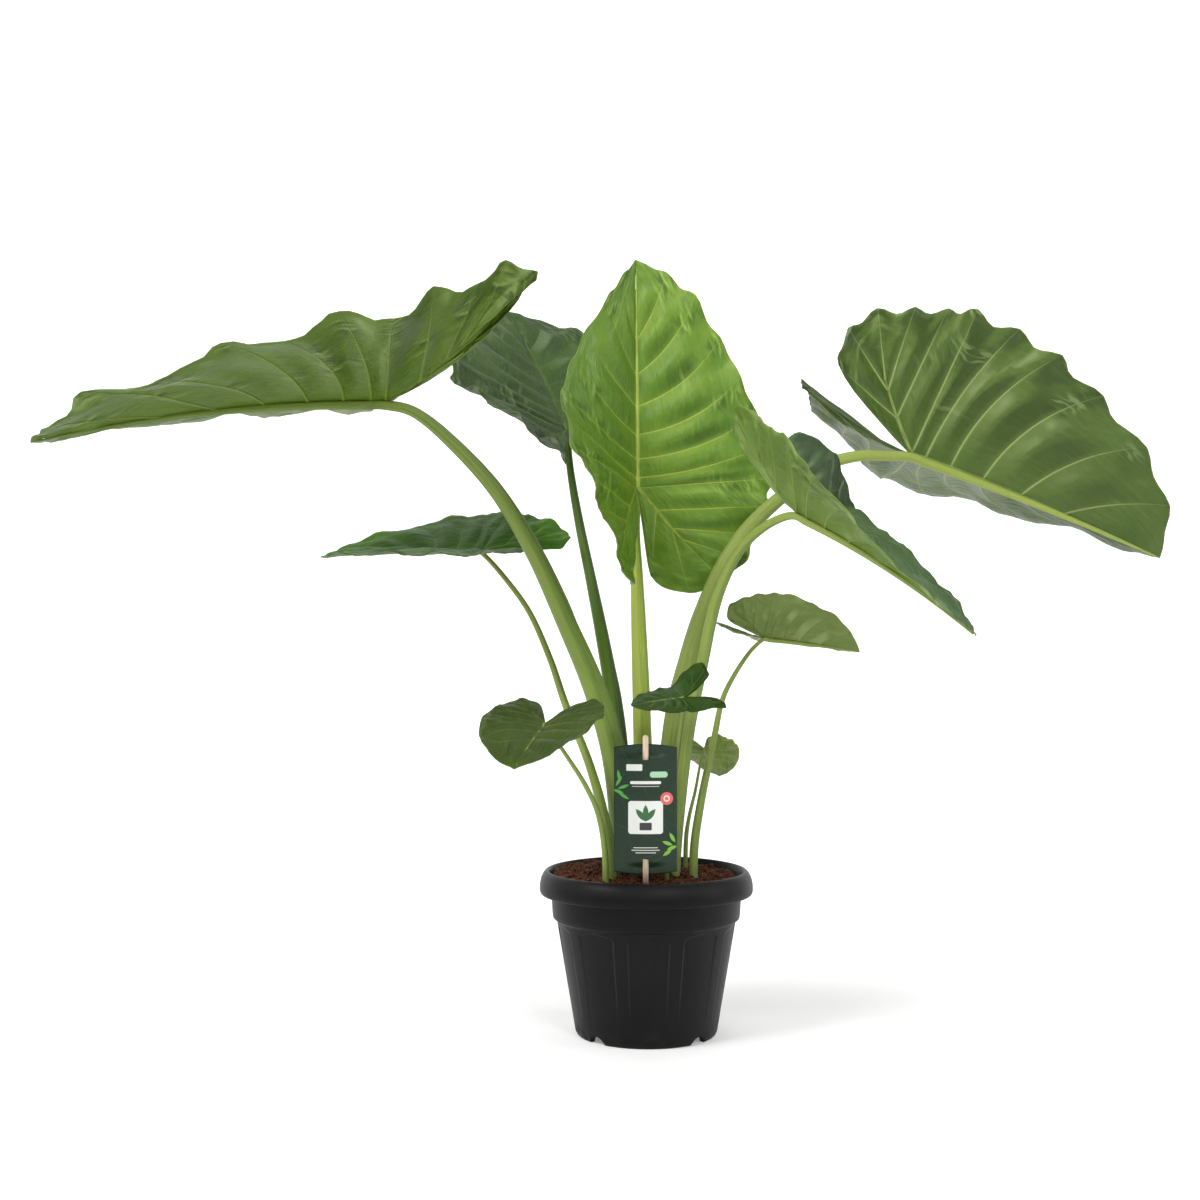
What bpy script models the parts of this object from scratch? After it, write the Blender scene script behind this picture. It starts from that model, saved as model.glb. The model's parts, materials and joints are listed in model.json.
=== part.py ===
"""Giant taro in a ribbed nursery pot, with its soil and a plain plant label. Metres, +Z up.

The origin is the middle of the pot's underside, on the surface that the pot stands on, and the
front of the plant faces -Y. Each of the ten leaves is a blade and a stalk. The stalks stand in
plain holes in the soil.
"""
import math

import bmesh
import bpy
from mathutils import Matrix, Vector

GAP = 0.0004

# Pot
PANELS = 10
PANEL_ANGLES = (-15, -13, -4.5, 4.5, 13, 15)
PANEL_HALF_ANGLE = 13
PANEL_DEPTH = 0.0011
PANEL_BOTTOM = 0.012
PANEL_TOP = 0.123
PANEL_ARCH = 0.005
FLOOR = 0.012
FOOT_HEIGHT = 0.009
PAD_RADIUS = 0.020
FOOT_INNER = 0.0705
FOOT_OUTER = 0.0765
NARROW_HEIGHT = 0.004
NARROW_RADIUS = 0.0790
WIDE_HEIGHT = 0.125
WIDE_RADIUS = 0.0995
NOTCHES = 4
NOTCH_HALF_WIDTH = 0.011

# Soil
SOIL_LEVEL = 0.1745
SOIL_SLOPE = 0.03
SOIL_MOUND = 0.011
SOIL_MOUND_RADIUS = 0.055
STALK_FOOT = 0.205
STALK_BOTTOM = 0.14

# Plant label
CARD_CENTRE = (-0.003, -0.086, 0.2565)
CARD_WIDTH = 0.067
CARD_HEIGHT = 0.132
CARD_ARC = 0.0035
CARD_THICKNESS = 0.0008
CARD_WEAVE = 0.0019
SLOT_HALF_WIDTH = 0.0038
SLOT_HEIGHT = 0.006
SLOT_FROM_EDGE = 0.0105
CARD_GIVE = 0.016
STICK_WIDTH = 0.006
STICK_THICKNESS = 0.002
STICK_TOP = 0.3355

# Leaf blades: a vein leaves the midrib or a lobe's rib for each whole number round a half
MIDRIB_VEINED = 0.8
LOBE_RIB = 0.28
LOBE_RIB_ANGLE = 136
BLUNT_REACH = 3
BLADE_THICKNESS = 0.001
VEIN_BOW = 0.10
BACK_REACH = 0.6
MIDRIB_STEPS = 24
# The margin round a half: degrees from the tip about the leaf's joint, and leaf lengths
MARGIN = (
    (0, 1.0), (9, 0.93), (19, 0.85), (31, 0.75), (45, 0.655), (59, 0.595), (73, 0.56), (87, 0.545),
    (100, 0.525), (113, 0.52), (126, 0.53), (138, 0.53), (149, 0.485), (158, 0.37), (158, 0.0),
)

# Each leaf: joint of stalk and blade; angles in degrees; pairs are its left and its right half,
# seen from above with the tip ahead. fold is how far a half rises from flat at the joint, fold_tip
# and fold_lobe what it gains towards them, lift how far a lobe bends up, narrow how much it narrows
# and blunt how much it swells towards the tip, close how far the lobes close behind the joint, wave
# the height of its fine wave and of each half's long one and scallop that of the margin's bumps, all
# in leaf lengths. stalk is the stalk's way down, as points with a radius.
LEAVES = {
    "leaf_1": dict(
        joint=(-0.286, -0.05, 0.698), length=0.372, heading=193, pitch=-1, roll=10, droop=15,
        width=(1.0, 0.9), lobe=(1.27, 0.6), fold=(8, 14), fold_tip=(-8, 0), fold_lobe=(22, 50),
        lift=(21, 75), narrow=(0.3, 0.2), wave=(0.003, 0.024, 0.008), close=-22, blunt=0.04,
        scallop=0.012,
        green=(0.13, 0.24, 0.045),
        stalk=((-0.254, -0.050, 0.685, 0.0060), (-0.216, -0.046, 0.655, 0.0072),
               (-0.166, -0.045, 0.601, 0.0084), (-0.124, -0.042, 0.533, 0.0098),
               (-0.089, -0.038, 0.458, 0.0115), (-0.056, -0.034, 0.381, 0.0135),
               (-0.034, -0.028, 0.304, 0.0150), (-0.024, -0.024, STALK_FOOT, 0.0155)),
    ),
    "leaf_2": dict(
        joint=(-0.091, 0.20, 0.697), length=0.295, heading=112, pitch=43, roll=20, droop=5,
        width=(1.08, 1.0), fold=(1, 25), fold_lobe=(24, 0), green=(0.035, 0.095, 0.04),
        stalk=((-0.088, 0.192, 0.645, 0.0046), (-0.077, 0.165, 0.580, 0.0056),
               (-0.062, 0.130, 0.507, 0.0066), (-0.048, 0.094, 0.436, 0.0080),
               (-0.036, 0.062, 0.367, 0.0092), (-0.029, 0.040, 0.300, 0.0100),
               (-0.026, 0.023, STALK_FOOT, 0.0105)),
    ),
    "leaf_3": dict(
        joint=(-0.009, 0.04, 0.611), length=0.280, heading=90, pitch=82, droop=5, close=14,
        width=(1.15, 1.03), fold=(68, 5), fold_tip=(-66, 0), fold_lobe=(16, 0),
        narrow=(0.75, 0.18), blunt=0.02, scallop=0.014, wave=(0.004, 0.012, 0.012), green=(0.2, 0.36, 0.03),
        stalk=((-0.011, 0.056, 0.563, 0.0058), (-0.009, 0.054, 0.511, 0.0072),
               (-0.006, 0.044, 0.425, 0.0092), (-0.003, 0.032, 0.324, 0.0105),
               (-0.001, 0.024, STALK_FOOT, 0.0110)),
    ),
    "leaf_4": dict(
        joint=(0.298, 0.0, 0.645), length=0.298, heading=0, pitch=-20, roll=-41, droop=8,
        width=(1.1, 1.06), lobe=(1.85, 1.08), fold=(37, 33), fold_tip=(10, 0), lift=(37, 18),
        wave=(0.006, 0.012, 0.012), veins=12, blunt=0.04, scallop=0.022, green=(0.1, 0.19, 0.045),
        stalk=((0.274, 0.000, 0.643, 0.0058), (0.240, 0.000, 0.643, 0.0062),
               (0.200, -0.002, 0.632, 0.0068), (0.161, -0.004, 0.604, 0.0076),
               (0.121, -0.004, 0.568, 0.0086), (0.090, -0.004, 0.526, 0.0096),
               (0.066, -0.004, 0.470, 0.0120), (0.050, -0.004, 0.414, 0.0145),
               (0.034, -0.004, 0.340, 0.0160), (0.022, -0.008, STALK_FOOT, 0.0165)),
    ),
    "leaf_5": dict(
        joint=(0.152, -0.15, 0.567), length=0.232, heading=-34, pitch=-26, roll=-18, droop=14,
        fold=(24, 20), fold_tip=(-6, -30), fold_lobe=(45, 8), lift=(25, 20), narrow=(0.4, 0.85),
        lobe=(1.0, 1.12), veins=12, scallop=0.004, wave=(0.002, 0.006, 0.006),
        green=(0.1, 0.2, 0.06),
        stalk=((0.139, -0.139, 0.564, 0.0042), (0.122, -0.116, 0.556, 0.0046),
               (0.104, -0.086, 0.540, 0.0050), (0.089, -0.062, 0.515, 0.0055),
               (0.074, -0.046, 0.475, 0.0062), (0.061, -0.041, 0.414, 0.0066),
               (0.044, -0.040, 0.327, 0.0066), (0.031, -0.037, STALK_FOOT, 0.0066)),
    ),
    "leaf_6": dict(
        joint=(-0.192, 0.10, 0.542), length=0.215, heading=162, pitch=3, roll=-18, droop=8,
        fold=(13, 10), lift=(7, -10), narrow=(0.2, 0.3), veins=12, scallop=0.010,
        wave=(0.004, 0.012, 0.012), green=(0.04, 0.1, 0.025),
        stalk=((-0.164, 0.087, 0.510, 0.0030), (-0.133, 0.062, 0.468, 0.0033),
               (-0.108, 0.032, 0.414, 0.0037), (-0.090, 0.002, 0.364, 0.0042),
               (-0.065, -0.028, 0.305, 0.0048), (-0.049, -0.046, 0.252, 0.0054),
               (-0.040, -0.053, STALK_FOOT, 0.0058)),
    ),
    "leaf_7": dict(
        joint=(-0.109, -0.12, 0.350), length=0.108, heading=254, pitch=-19, roll=3, droop=5,
        width=(1.15, 1.1), lobe=(1.1, 1.1), fold=(8, 14), veins=10, scallop=0.005,
        wave=(0.003, 0.010, 0.010), green=(0.045, 0.1, 0.025),
        stalk=((-0.100, -0.116, 0.335, 0.0020), (-0.086, -0.108, 0.314, 0.0022),
               (-0.067, -0.096, 0.283, 0.0026), (-0.053, -0.084, 0.250, 0.0030),
               (-0.046, -0.075, STALK_FOOT, 0.0034)),
    ),
    "leaf_8": dict(
        joint=(0.135, 0.03, 0.439), length=0.110, heading=0, pitch=-6, roll=-32, droop=5,
        lobe=(1.5, 1.0), fold=(30, 28), lift=(21, 0), veins=10, scallop=0.010,
        wave=(0.004, 0.010, 0.010), green=(0.1, 0.2, 0.05),
        stalk=((0.119, 0.027, 0.423, 0.0023), (0.099, 0.015, 0.395, 0.0026),
               (0.085, 0.004, 0.367, 0.0030), (0.075, -0.010, 0.325, 0.0036),
               (0.060, -0.028, 0.261, 0.0044), (0.051, -0.040, STALK_FOOT, 0.0048)),
    ),
    "leaf_9": dict(
        joint=(0.037, -0.10, 0.3765), length=0.060, heading=200, pitch=-5, roll=-25, droop=5,
        width=(1.15, 1.15), lobe=(2.2, 1.7), fold=(5, -10), fold_lobe=(0, 45), lift=(-5, 25),
        veins=10, scallop=0.008, green=(0.025, 0.065, 0.018),
        stalk=((0.036, -0.094, 0.363, 0.0018), (0.034, -0.080, 0.342, 0.0020),
               (0.029, -0.070, 0.300, 0.0023), (0.021, -0.062, STALK_FOOT, 0.0028)),
    ),
    "leaf_10": dict(
        joint=(0.068, 0.05, 0.312), length=0.072, heading=69, pitch=-28, droop=5,
        fold=(10, 10), veins=10, scallop=0.006, green=(0.07, 0.14, 0.03),
        stalk=((0.063, 0.046, 0.292, 0.0015), (0.057, 0.036, 0.264, 0.0018),
               (0.049, 0.022, 0.235, 0.0022), (0.045, 0.014, STALK_FOOT, 0.0026)),
    ),
}
FINE_LEAVES = ("leaf_1", "leaf_2", "leaf_3", "leaf_4", "leaf_5", "leaf_6")


def material(name, colour, roughness, metallic=0.0):
    made = bpy.data.materials.new(name)
    made.use_nodes = True
    shader = made.node_tree.nodes["Principled BSDF"]
    shader.inputs["Base Color"].default_value = (*colour, 1)
    shader.inputs["Roughness"].default_value = roughness
    shader.inputs["Metallic"].default_value = metallic
    return made


def mesh_object(name, bm, shader):
    bmesh.ops.recalc_face_normals(bm, faces=bm.faces)
    mesh = bpy.data.meshes.new(name)
    bm.to_mesh(mesh)
    bm.free()
    made = bpy.data.objects.new(name, mesh)
    bpy.context.scene.collection.objects.link(made)
    made.data.materials.append(shader)
    return made


def smooth(points, position):
    """Catmull-Rom curve through a row of points, at a position counted in points."""
    last = len(points) - 1
    start = min(int(position), last - 1)
    part = position - start
    before, here, after, beyond = (
        Vector(points[min(max(k, 0), last)]) for k in range(start - 1, start + 3)
    )
    if start == 0:
        before = 2 * here - after
    if start == last - 1:
        beyond = 2 * after - here
    return 0.5 * (
        2 * here
        + (after - before) * part
        + (2 * before - 5 * here + 4 * after - beyond) * part**2
        + (3 * here - before - 3 * after + beyond) * part**3
    )


def turn(frame, axis, degrees):
    """A frame of (ahead, left, up) turned about one of its own directions."""
    rotation = Matrix.Rotation(math.radians(degrees), 3, frame[axis])
    return tuple(rotation @ direction for direction in frame)


class Leaf:
    """The curved surface of one leaf."""

    def __init__(self, sizes):
        both = (0, 0)
        self.joint = Vector(sizes["joint"])
        self.length = sizes["length"]
        self.width = sizes.get("width", (1, 1))
        self.lobe = sizes.get("lobe", (1, 1))
        self.narrow = sizes.get("narrow", both)
        self.close = sizes.get("close", 0)
        self.fold = sizes.get("fold", both)
        self.fold_tip = sizes.get("fold_tip", both)
        self.fold_lobe = sizes.get("fold_lobe", both)
        self.wave = sizes.get("wave", (0.006, 0.015, 0.015))
        self.veins = sizes.get("veins", 14)
        self.last_midrib_vein = self.veins // 2
        self.scallop = sizes.get("scallop", 0.018)
        self.blunt = sizes.get("blunt", 0)
        heading = math.radians(sizes["heading"])
        pitch = math.radians(sizes["pitch"])
        ahead = Vector((
            math.cos(heading) * math.cos(pitch),
            math.sin(heading) * math.cos(pitch),
            math.sin(pitch),
        ))
        left = Vector((-math.sin(heading), math.cos(heading), 0))
        self.frame = turn((ahead, left, ahead.cross(left)), 0, sizes.get("roll", 0))
        self.front = self.line(1, 1, sizes["droop"])
        self.back = [self.line(-1, BACK_REACH, lift) for lift in sizes.get("lift", both)]

    def line(self, way, reach, bend):
        """Centre line from the joint, as places with frames: bent evenly ahead, early behind."""
        place, frame = self.joint.copy(), self.frame
        line = [(place.copy(), frame)]
        step = way * reach * self.length / MIDRIB_STEPS
        for k in range(MIDRIB_STEPS):
            early = 1 if way > 0 else 3 * (1 - (k + 0.5) / MIDRIB_STEPS) ** 2
            frame = turn(frame, 1, bend * early / MIDRIB_STEPS)
            place = place + frame[0] * step
            line.append((place.copy(), frame))
        return line

    def flat(self, half, vein, out):
        """Place in the flat leaf, in lengths: across the midrib, and along it from the joint."""
        position = vein * (len(MARGIN) - 1) / self.veins
        angle, reach = smooth(MARGIN, position)
        angle = math.radians(angle + self.close * max(0, min(1, (position - 10) / 3)) ** 2)
        ends = min(1, vein / 2, (self.veins - vein) / 2)
        reach *= 1 + self.scallop * (math.cos(2 * math.pi * vein) - 1) * ends
        reach += self.blunt * math.sin(math.pi * min(1, position / BLUNT_REACH))
        across = reach * math.sin(angle) * self.width[half]
        along = reach * math.cos(angle)
        across *= 1 - self.narrow[half] * max(0, along)
        along *= self.lobe[half] if along < 0 else 1
        last = self.last_midrib_vein
        if vein <= last:
            root = Vector((0, MIDRIB_VEINED * (1 - vein / last) ** 1.5))
            bow = VEIN_BOW * math.sin(math.pi * vein / last)
        else:
            lobe_angle = math.radians(LOBE_RIB_ANGLE + self.close * 0.4)
            reach = LOBE_RIB * math.sin(math.pi * (vein - last) / (self.veins - last))
            root = Vector((
                reach * math.sin(lobe_angle) * self.width[half],
                reach * math.cos(lobe_angle) * self.lobe[half],
            ))
            bow = 0
        chord = Vector((across, along)) - root
        bulge = bow * 4 * out * (1 - out)
        return root + chord * out + Vector((chord.y, -chord.x)) * bulge

    def place(self, half, vein, out):
        """Place on the upper face, from the vein's root at 0 to the margin at 1."""
        across, along = self.flat(half, vein, out)
        line, part = (self.front, along) if along >= 0 else (self.back[half], -along / BACK_REACH)
        part = min(max(part, 0), 1) * MIDRIB_STEPS
        at = min(int(part), MIDRIB_STEPS - 1)
        centre = line[at][0].lerp(line[at + 1][0], part - at)
        frame = [a.lerp(b, part - at).normalized() for a, b in zip(line[at][1], line[at + 1][1])]
        rise = self.fold[half]
        rise += self.fold_tip[half] * max(along, 0) + self.fold_lobe[half] * max(-along, 0) * 2
        rise = math.radians(rise)
        side = 1 if half == 0 else -1
        ahead, left, up = frame
        outward = side * left * math.cos(rise) + up * math.sin(rise)
        normal = up * math.cos(rise) - side * left * math.sin(rise)
        edge = min(1, vein / 1.5, (self.veins - vein) / 1.5)
        wave = self.wave[0] * math.cos(2 * math.pi * vein)
        wave += self.wave[1 + half] * math.cos(math.pi * vein)
        return centre + (outward * across + normal * out**2 * edge * wave) * self.length


def blade(name, sizes, shader):
    """A leaf blade: a sheet of triangles given thickness below, more of it along the midrib."""
    leaf = Leaf(sizes)
    last = leaf.last_midrib_vein
    fine = name in FINE_LEAVES
    per_vein = 2 if fine else 1
    rows = (0, 0.06, 0.5, 1) if fine else (0, 0.12, 1)
    ridge = max(2 * sizes["stalk"][0][3], 2 * BLADE_THICKNESS)
    bm = bmesh.new()
    weights = bm.verts.layers.deform.verify()
    for half in (0, 1):
        columns = []
        for i in range(leaf.veins * per_vein + 1):
            vein = i / per_vein
            column = []
            for out in rows:
                vert = bm.verts.new(leaf.place(half, vein, out))
                if out > 0 or vein > last + 0.5:
                    share = 0
                elif vein > last - 0.4:
                    share = 0.15
                else:
                    share = (vein / last) ** 0.8
                vert[weights][0] = share
                column.append(vert)
            columns.append(column)
        for first, second in zip(columns, columns[1:]):
            for k in range(len(rows) - 1):
                corners = (first[k], second[k], second[k + 1], first[k + 1])
                bm.faces.new(corners if half == 1 else tuple(reversed(corners)))
    bmesh.ops.remove_doubles(bm, verts=bm.verts, dist=0.0001)
    bmesh.ops.dissolve_degenerate(bm, edges=bm.edges, dist=0.0001)
    bmesh.ops.triangulate(bm, faces=bm.faces)
    made = mesh_object(name + "_blade", bm, shader)
    summed = sum((p.normal * p.area for p in made.data.polygons), Vector())
    if summed.dot(leaf.frame[2]) < 0:
        made.data.flip_normals()
    made.data.shade_smooth()
    made.vertex_groups.new(name="rib")
    thicken = made.modifiers.new("thickness", "SOLIDIFY")
    thicken.thickness = ridge
    thicken.offset = -1
    thicken.vertex_group = "rib"
    thicken.thickness_vertex_group = BLADE_THICKNESS / ridge
    return leaf


def stalk(name, leaf, sizes, shader):
    """A leaf stalk: a round tapering rod from under the leaf's joint down into the soil."""
    ahead, _, up = leaf.frame
    way = sizes["stalk"]
    radius = way[0][3] * 0.9
    top = leaf.joint - up * (radius + 0.0024) - ahead * GAP
    guides = [(*top, radius), *way]
    foot = way[-1]
    steps = 2
    points = [
        smooth([*guides, (foot[0], foot[1], STALK_BOTTOM, foot[3])], k / steps)
        for k in range((len(guides) - 1) * steps + 1)
    ]
    points.append(Vector((foot[0], foot[1], STALK_BOTTOM, foot[3])))
    curve = bpy.data.curves.new(name + "_stalk", "CURVE")
    curve.dimensions = "3D"
    curve.bevel_depth = 1
    curve.bevel_resolution = 4 if foot[3] > 0.006 else 2
    curve.use_fill_caps = True
    spline = curve.splines.new("POLY")
    spline.points.add(len(points) - 1)
    for point, value in zip(spline.points, points):
        point.co = (*value[:3], 1)
        point.radius = value[3]
    made = bpy.data.objects.new(name + "_stalk", curve)
    bpy.context.scene.collection.objects.link(made)
    curve.materials.append(shader)
    return foot


def panel_recess(angle, height):
    """How far the pot's side steps in, at this angle from a panel's middle: most at its top."""
    top = PANEL_TOP - PANEL_ARCH * (angle / PANEL_HALF_ANGLE) ** 2
    if abs(angle) > PANEL_HALF_ANGLE or not PANEL_BOTTOM < height < top:
        return 0
    return PANEL_DEPTH * (height - PANEL_BOTTOM) / (PANEL_TOP - PANEL_BOTTOM)


def ring_angles():
    pitch = 360 / PANELS
    return [(k * pitch - 90, offset) for k in range(PANELS) for offset in PANEL_ANGLES]


def ring(bm, radius, height, recessed=False):
    verts = []
    for middle, offset in ring_angles():
        angle = math.radians(middle + offset)
        out = radius - (panel_recess(offset, height) if recessed else 0)
        verts.append(bm.verts.new((out * math.cos(angle), out * math.sin(angle), height)))
    return verts


def join_rings(bm, rings):
    for first, second in zip(rings, rings[1:]):
        for k in range(len(first)):
            after = (k + 1) % len(first)
            bm.faces.new((first[k], first[after], second[after], second[k]))


def body_radius(height):
    """The pot's tapering side."""
    share = (height - NARROW_HEIGHT) / (WIDE_HEIGHT - NARROW_HEIGHT)
    return NARROW_RADIUS + (WIDE_RADIUS - NARROW_RADIUS) * share


def pot(shader):
    """The ribbed pot, one moulding, turned about its axis with panels let into its side."""
    bm = bmesh.new()
    centre_below = bm.verts.new((0, 0, 0))
    rings = [
        ring(bm, PAD_RADIUS, 0),
        ring(bm, PAD_RADIUS, FOOT_HEIGHT),
        ring(bm, FOOT_INNER, FOOT_HEIGHT),
        ring(bm, FOOT_INNER, 0),
        ring(bm, FOOT_OUTER, 0),
    ]
    for height in (NARROW_HEIGHT, PANEL_BOTTOM, 0.045, 0.080, 0.1165, 0.1185, 0.1225, 0.1245, 0.126):
        rings.append(ring(bm, body_radius(height), height, recessed=True))
    for radius, height in (
        (0.1040, 0.1285), (0.1056, 0.150), (0.1060, 0.165), (0.1095, 0.1765), (0.1135, 0.1705),
        (0.1158, 0.1630), (0.1150, 0.1565), (0.1170, 0.1555), (0.1188, 0.1590), (0.1180, 0.1680),
        (0.1150, 0.1765), (0.1110, 0.1808), (0.1088, 0.1800), (0.1040, 0.1660), (0.1030, 0.1500),
        (0.1020, 0.1300), (0.0970, 0.1240), (0.0785, 0.0145), (0.0765, FLOOR),
    ):
        rings.append(ring(bm, radius, height))
    centre_above = bm.verts.new((0, 0, FLOOR))
    join_rings(bm, rings)
    for end, centre in ((rings[0], centre_below), (rings[-1], centre_above)):
        for k in range(len(end)):
            bm.faces.new((centre, end[k], end[(k + 1) % len(end)]))
    made = mesh_object("pot", bm, shader)
    made.data.shade_smooth()
    made.data.set_sharp_from_angle(angle=math.radians(35))
    notches = bmesh.new()
    for k in range(NOTCHES):
        turned = Matrix.Rotation(math.radians(45 + 360 / NOTCHES * k), 4, "Z")
        placed = (
            turned @ Matrix.Translation((0.075, 0, 0))
            @ Matrix.Diagonal((1, NOTCH_HALF_WIDTH, FOOT_HEIGHT - 0.0002, 1))
            @ Matrix.Rotation(math.radians(90), 4, "Y")
        )
        bmesh.ops.create_cone(
            notches, cap_ends=True, segments=20, radius1=1, radius2=1, depth=0.02, matrix=placed,
        )
    cutter = mesh_object("foot_notches", notches, shader)
    cut_away(made, cutter)


def soil_height(x, y):
    """The soil's top: a low mound round the stalks, higher at the left than at the right."""
    away = math.hypot(x, y)
    mound = SOIL_MOUND * math.exp(-((away / SOIL_MOUND_RADIUS) ** 2))
    lumps = 0.0012 * math.sin(95 * x + 1.3) * math.cos(80 * y) + 0.0008 * math.sin(210 * x + 170 * y)
    return SOIL_LEVEL + mound - SOIL_SLOPE * x + lumps


def soil(shader, feet):
    """The soil, filling the pot, with a plain hole for each stalk and for the label's stick."""
    bm = bmesh.new()
    rings = [ring(bm, 0.0762, FLOOR + GAP)]
    for radius, height in ((0.0780, 0.0150), (0.0965, 0.1245), (0.1014, 0.1303), (0.1025, 0.150)):
        rings.append(ring(bm, radius, height))
    for radius in (0.1034, 0.085, 0.062, 0.040, 0.020):
        top = ring(bm, radius, 0)
        for vert in top:
            vert.co.z = soil_height(vert.co.x, vert.co.y)
        rings.append(top)
    join_rings(bm, rings)
    for end, height in ((rings[0], FLOOR + GAP), (rings[-1], soil_height(0, 0))):
        centre = bm.verts.new((0, 0, height))
        for k in range(len(end)):
            bm.faces.new((centre, end[k], end[(k + 1) % len(end)]))
    made = mesh_object("soil", bm, shader)
    made.data.shade_smooth()
    holes = bmesh.new()
    sides = 16
    depth = STALK_FOOT - STALK_BOTTOM + 0.02
    for x, y, _, radius in feet:
        wide = (radius + GAP) / math.cos(math.pi / sides)
        bmesh.ops.create_cone(
            holes, cap_ends=True, segments=sides, radius1=wide, radius2=wide, depth=depth,
            matrix=Matrix.Translation((x, y, STALK_BOTTOM - GAP + depth / 2)),
        )
    bmesh.ops.create_cube(
        holes, size=1,
        matrix=Matrix.Translation((CARD_CENTRE[0], CARD_CENTRE[1], STALK_BOTTOM - GAP + depth / 2))
        @ Matrix.Diagonal((STICK_WIDTH + 2 * GAP, STICK_THICKNESS + 2 * GAP, depth, 1)),
    )
    cutter = mesh_object("stalk_holes", holes, shader)
    cut_away(made, cutter)


def cut_away(target, cutter):
    cutter.hide_render = True
    cutter.display_type = "WIRE"
    cut = target.modifiers.new("cut", "BOOLEAN")
    cut.object = cutter
    cut.solver = "EXACT"


def card(shader):
    """The label's card: a thin plate with bowed ends, woven over the stick through two slots."""
    bm = bmesh.new()
    half = CARD_HEIGHT / 2
    slot_outer = half - SLOT_FROM_EDGE + SLOT_HEIGHT / 2
    slot_inner = slot_outer - SLOT_HEIGHT
    across = (-1, -0.55, -SLOT_HALF_WIDTH / (CARD_WIDTH / 2), SLOT_HALF_WIDTH / (CARD_WIDTH / 2), 0.55, 1)
    steps = (half, slot_outer, (slot_outer + slot_inner) / 2, slot_inner, slot_inner / 2)
    levels = [-step for step in steps] + [0] + list(reversed(steps))
    rows = []
    for level in levels:
        row = []
        middle = (slot_outer + slot_inner) / 2
        weave = max(-1, min(1, (abs(level) - middle) / (SLOT_HEIGHT / 2)))
        for share in across:
            bulge = CARD_ARC * (1 - share**2) * level / half
            curl = 0.0025 * share**2
            beside = max(0, abs(share) * CARD_WIDTH / 2 - SLOT_HALF_WIDTH)
            give = math.exp(-((beside / CARD_GIVE) ** 2))
            row.append(bm.verts.new((
                CARD_CENTRE[0] + share * CARD_WIDTH / 2,
                CARD_CENTRE[1] + weave * CARD_WEAVE * give + curl,
                CARD_CENTRE[2] + level + bulge,
            )))
        rows.append(row)
    for k, (low, high) in enumerate(zip(rows, rows[1:])):
        in_slot = slot_inner <= abs(levels[k] + levels[k + 1]) / 2 <= slot_outer
        for j in range(len(across) - 1):
            if in_slot and j == len(across) // 2 - 1:
                continue
            bm.faces.new((low[j], low[j + 1], high[j + 1], high[j]))
    bmesh.ops.triangulate(bm, faces=bm.faces)
    made = mesh_object("label_card", bm, shader)
    thicken = made.modifiers.new("thickness", "SOLIDIFY")
    thicken.thickness = CARD_THICKNESS
    thicken.offset = 0


def stick(shader):
    """The label's flat wooden stick, with a rounded top."""
    bm = bmesh.new()
    half = STICK_WIDTH / 2
    outline = [(-half, STALK_BOTTOM), (half, STALK_BOTTOM)]
    for k in range(9):
        angle = math.pi * k / 8
        outline.append((half * math.cos(angle), STICK_TOP - half + half * math.sin(angle)))
    front = [
        bm.verts.new((CARD_CENTRE[0] + x, CARD_CENTRE[1] - STICK_THICKNESS / 2, z)) for x, z in outline
    ]
    face = bm.faces.new(front)
    grown = bmesh.ops.extrude_face_region(bm, geom=[face])
    moved = [item for item in grown["geom"] if isinstance(item, bmesh.types.BMVert)]
    bmesh.ops.translate(bm, verts=moved, vec=(0, STICK_THICKNESS, 0))
    mesh_object("label_stick", bm, shader)


def build():
    for old in list(bpy.data.objects):
        bpy.data.objects.remove(old)
    feet = []
    for name, sizes in LEAVES.items():
        leaf = blade(name, sizes, material(name + "_green", sizes["green"], 0.4))
        pale = [0.35 * value + 0.65 * tone for value, tone in zip(sizes["green"], (0.22, 0.32, 0.07))]
        feet.append(stalk(name, leaf, sizes, material(name + "_stalk_green", pale, 0.45)))
    pot(material("black_plastic", (0.012, 0.012, 0.014), 0.38))
    soil(material("coir_soil", (0.07, 0.025, 0.013), 0.95), feet)
    card(material("printed_card", (0.015, 0.06, 0.035), 0.5))
    stick(material("pale_wood", (0.62, 0.47, 0.33), 0.6))


build()
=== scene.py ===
"""A giant taro in a ribbed nursery pot, with its soil and a plain plant label on a wooden stick.

Metres, +Z up. The pot stands on the floor at the origin and the front of the plant faces -Y.
"""

import json
import random
from math import atan2, cos, degrees, exp, hypot, pi, radians, sin, sqrt

import bmesh
import bpy
from mathutils import Matrix, Vector, noise

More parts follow.
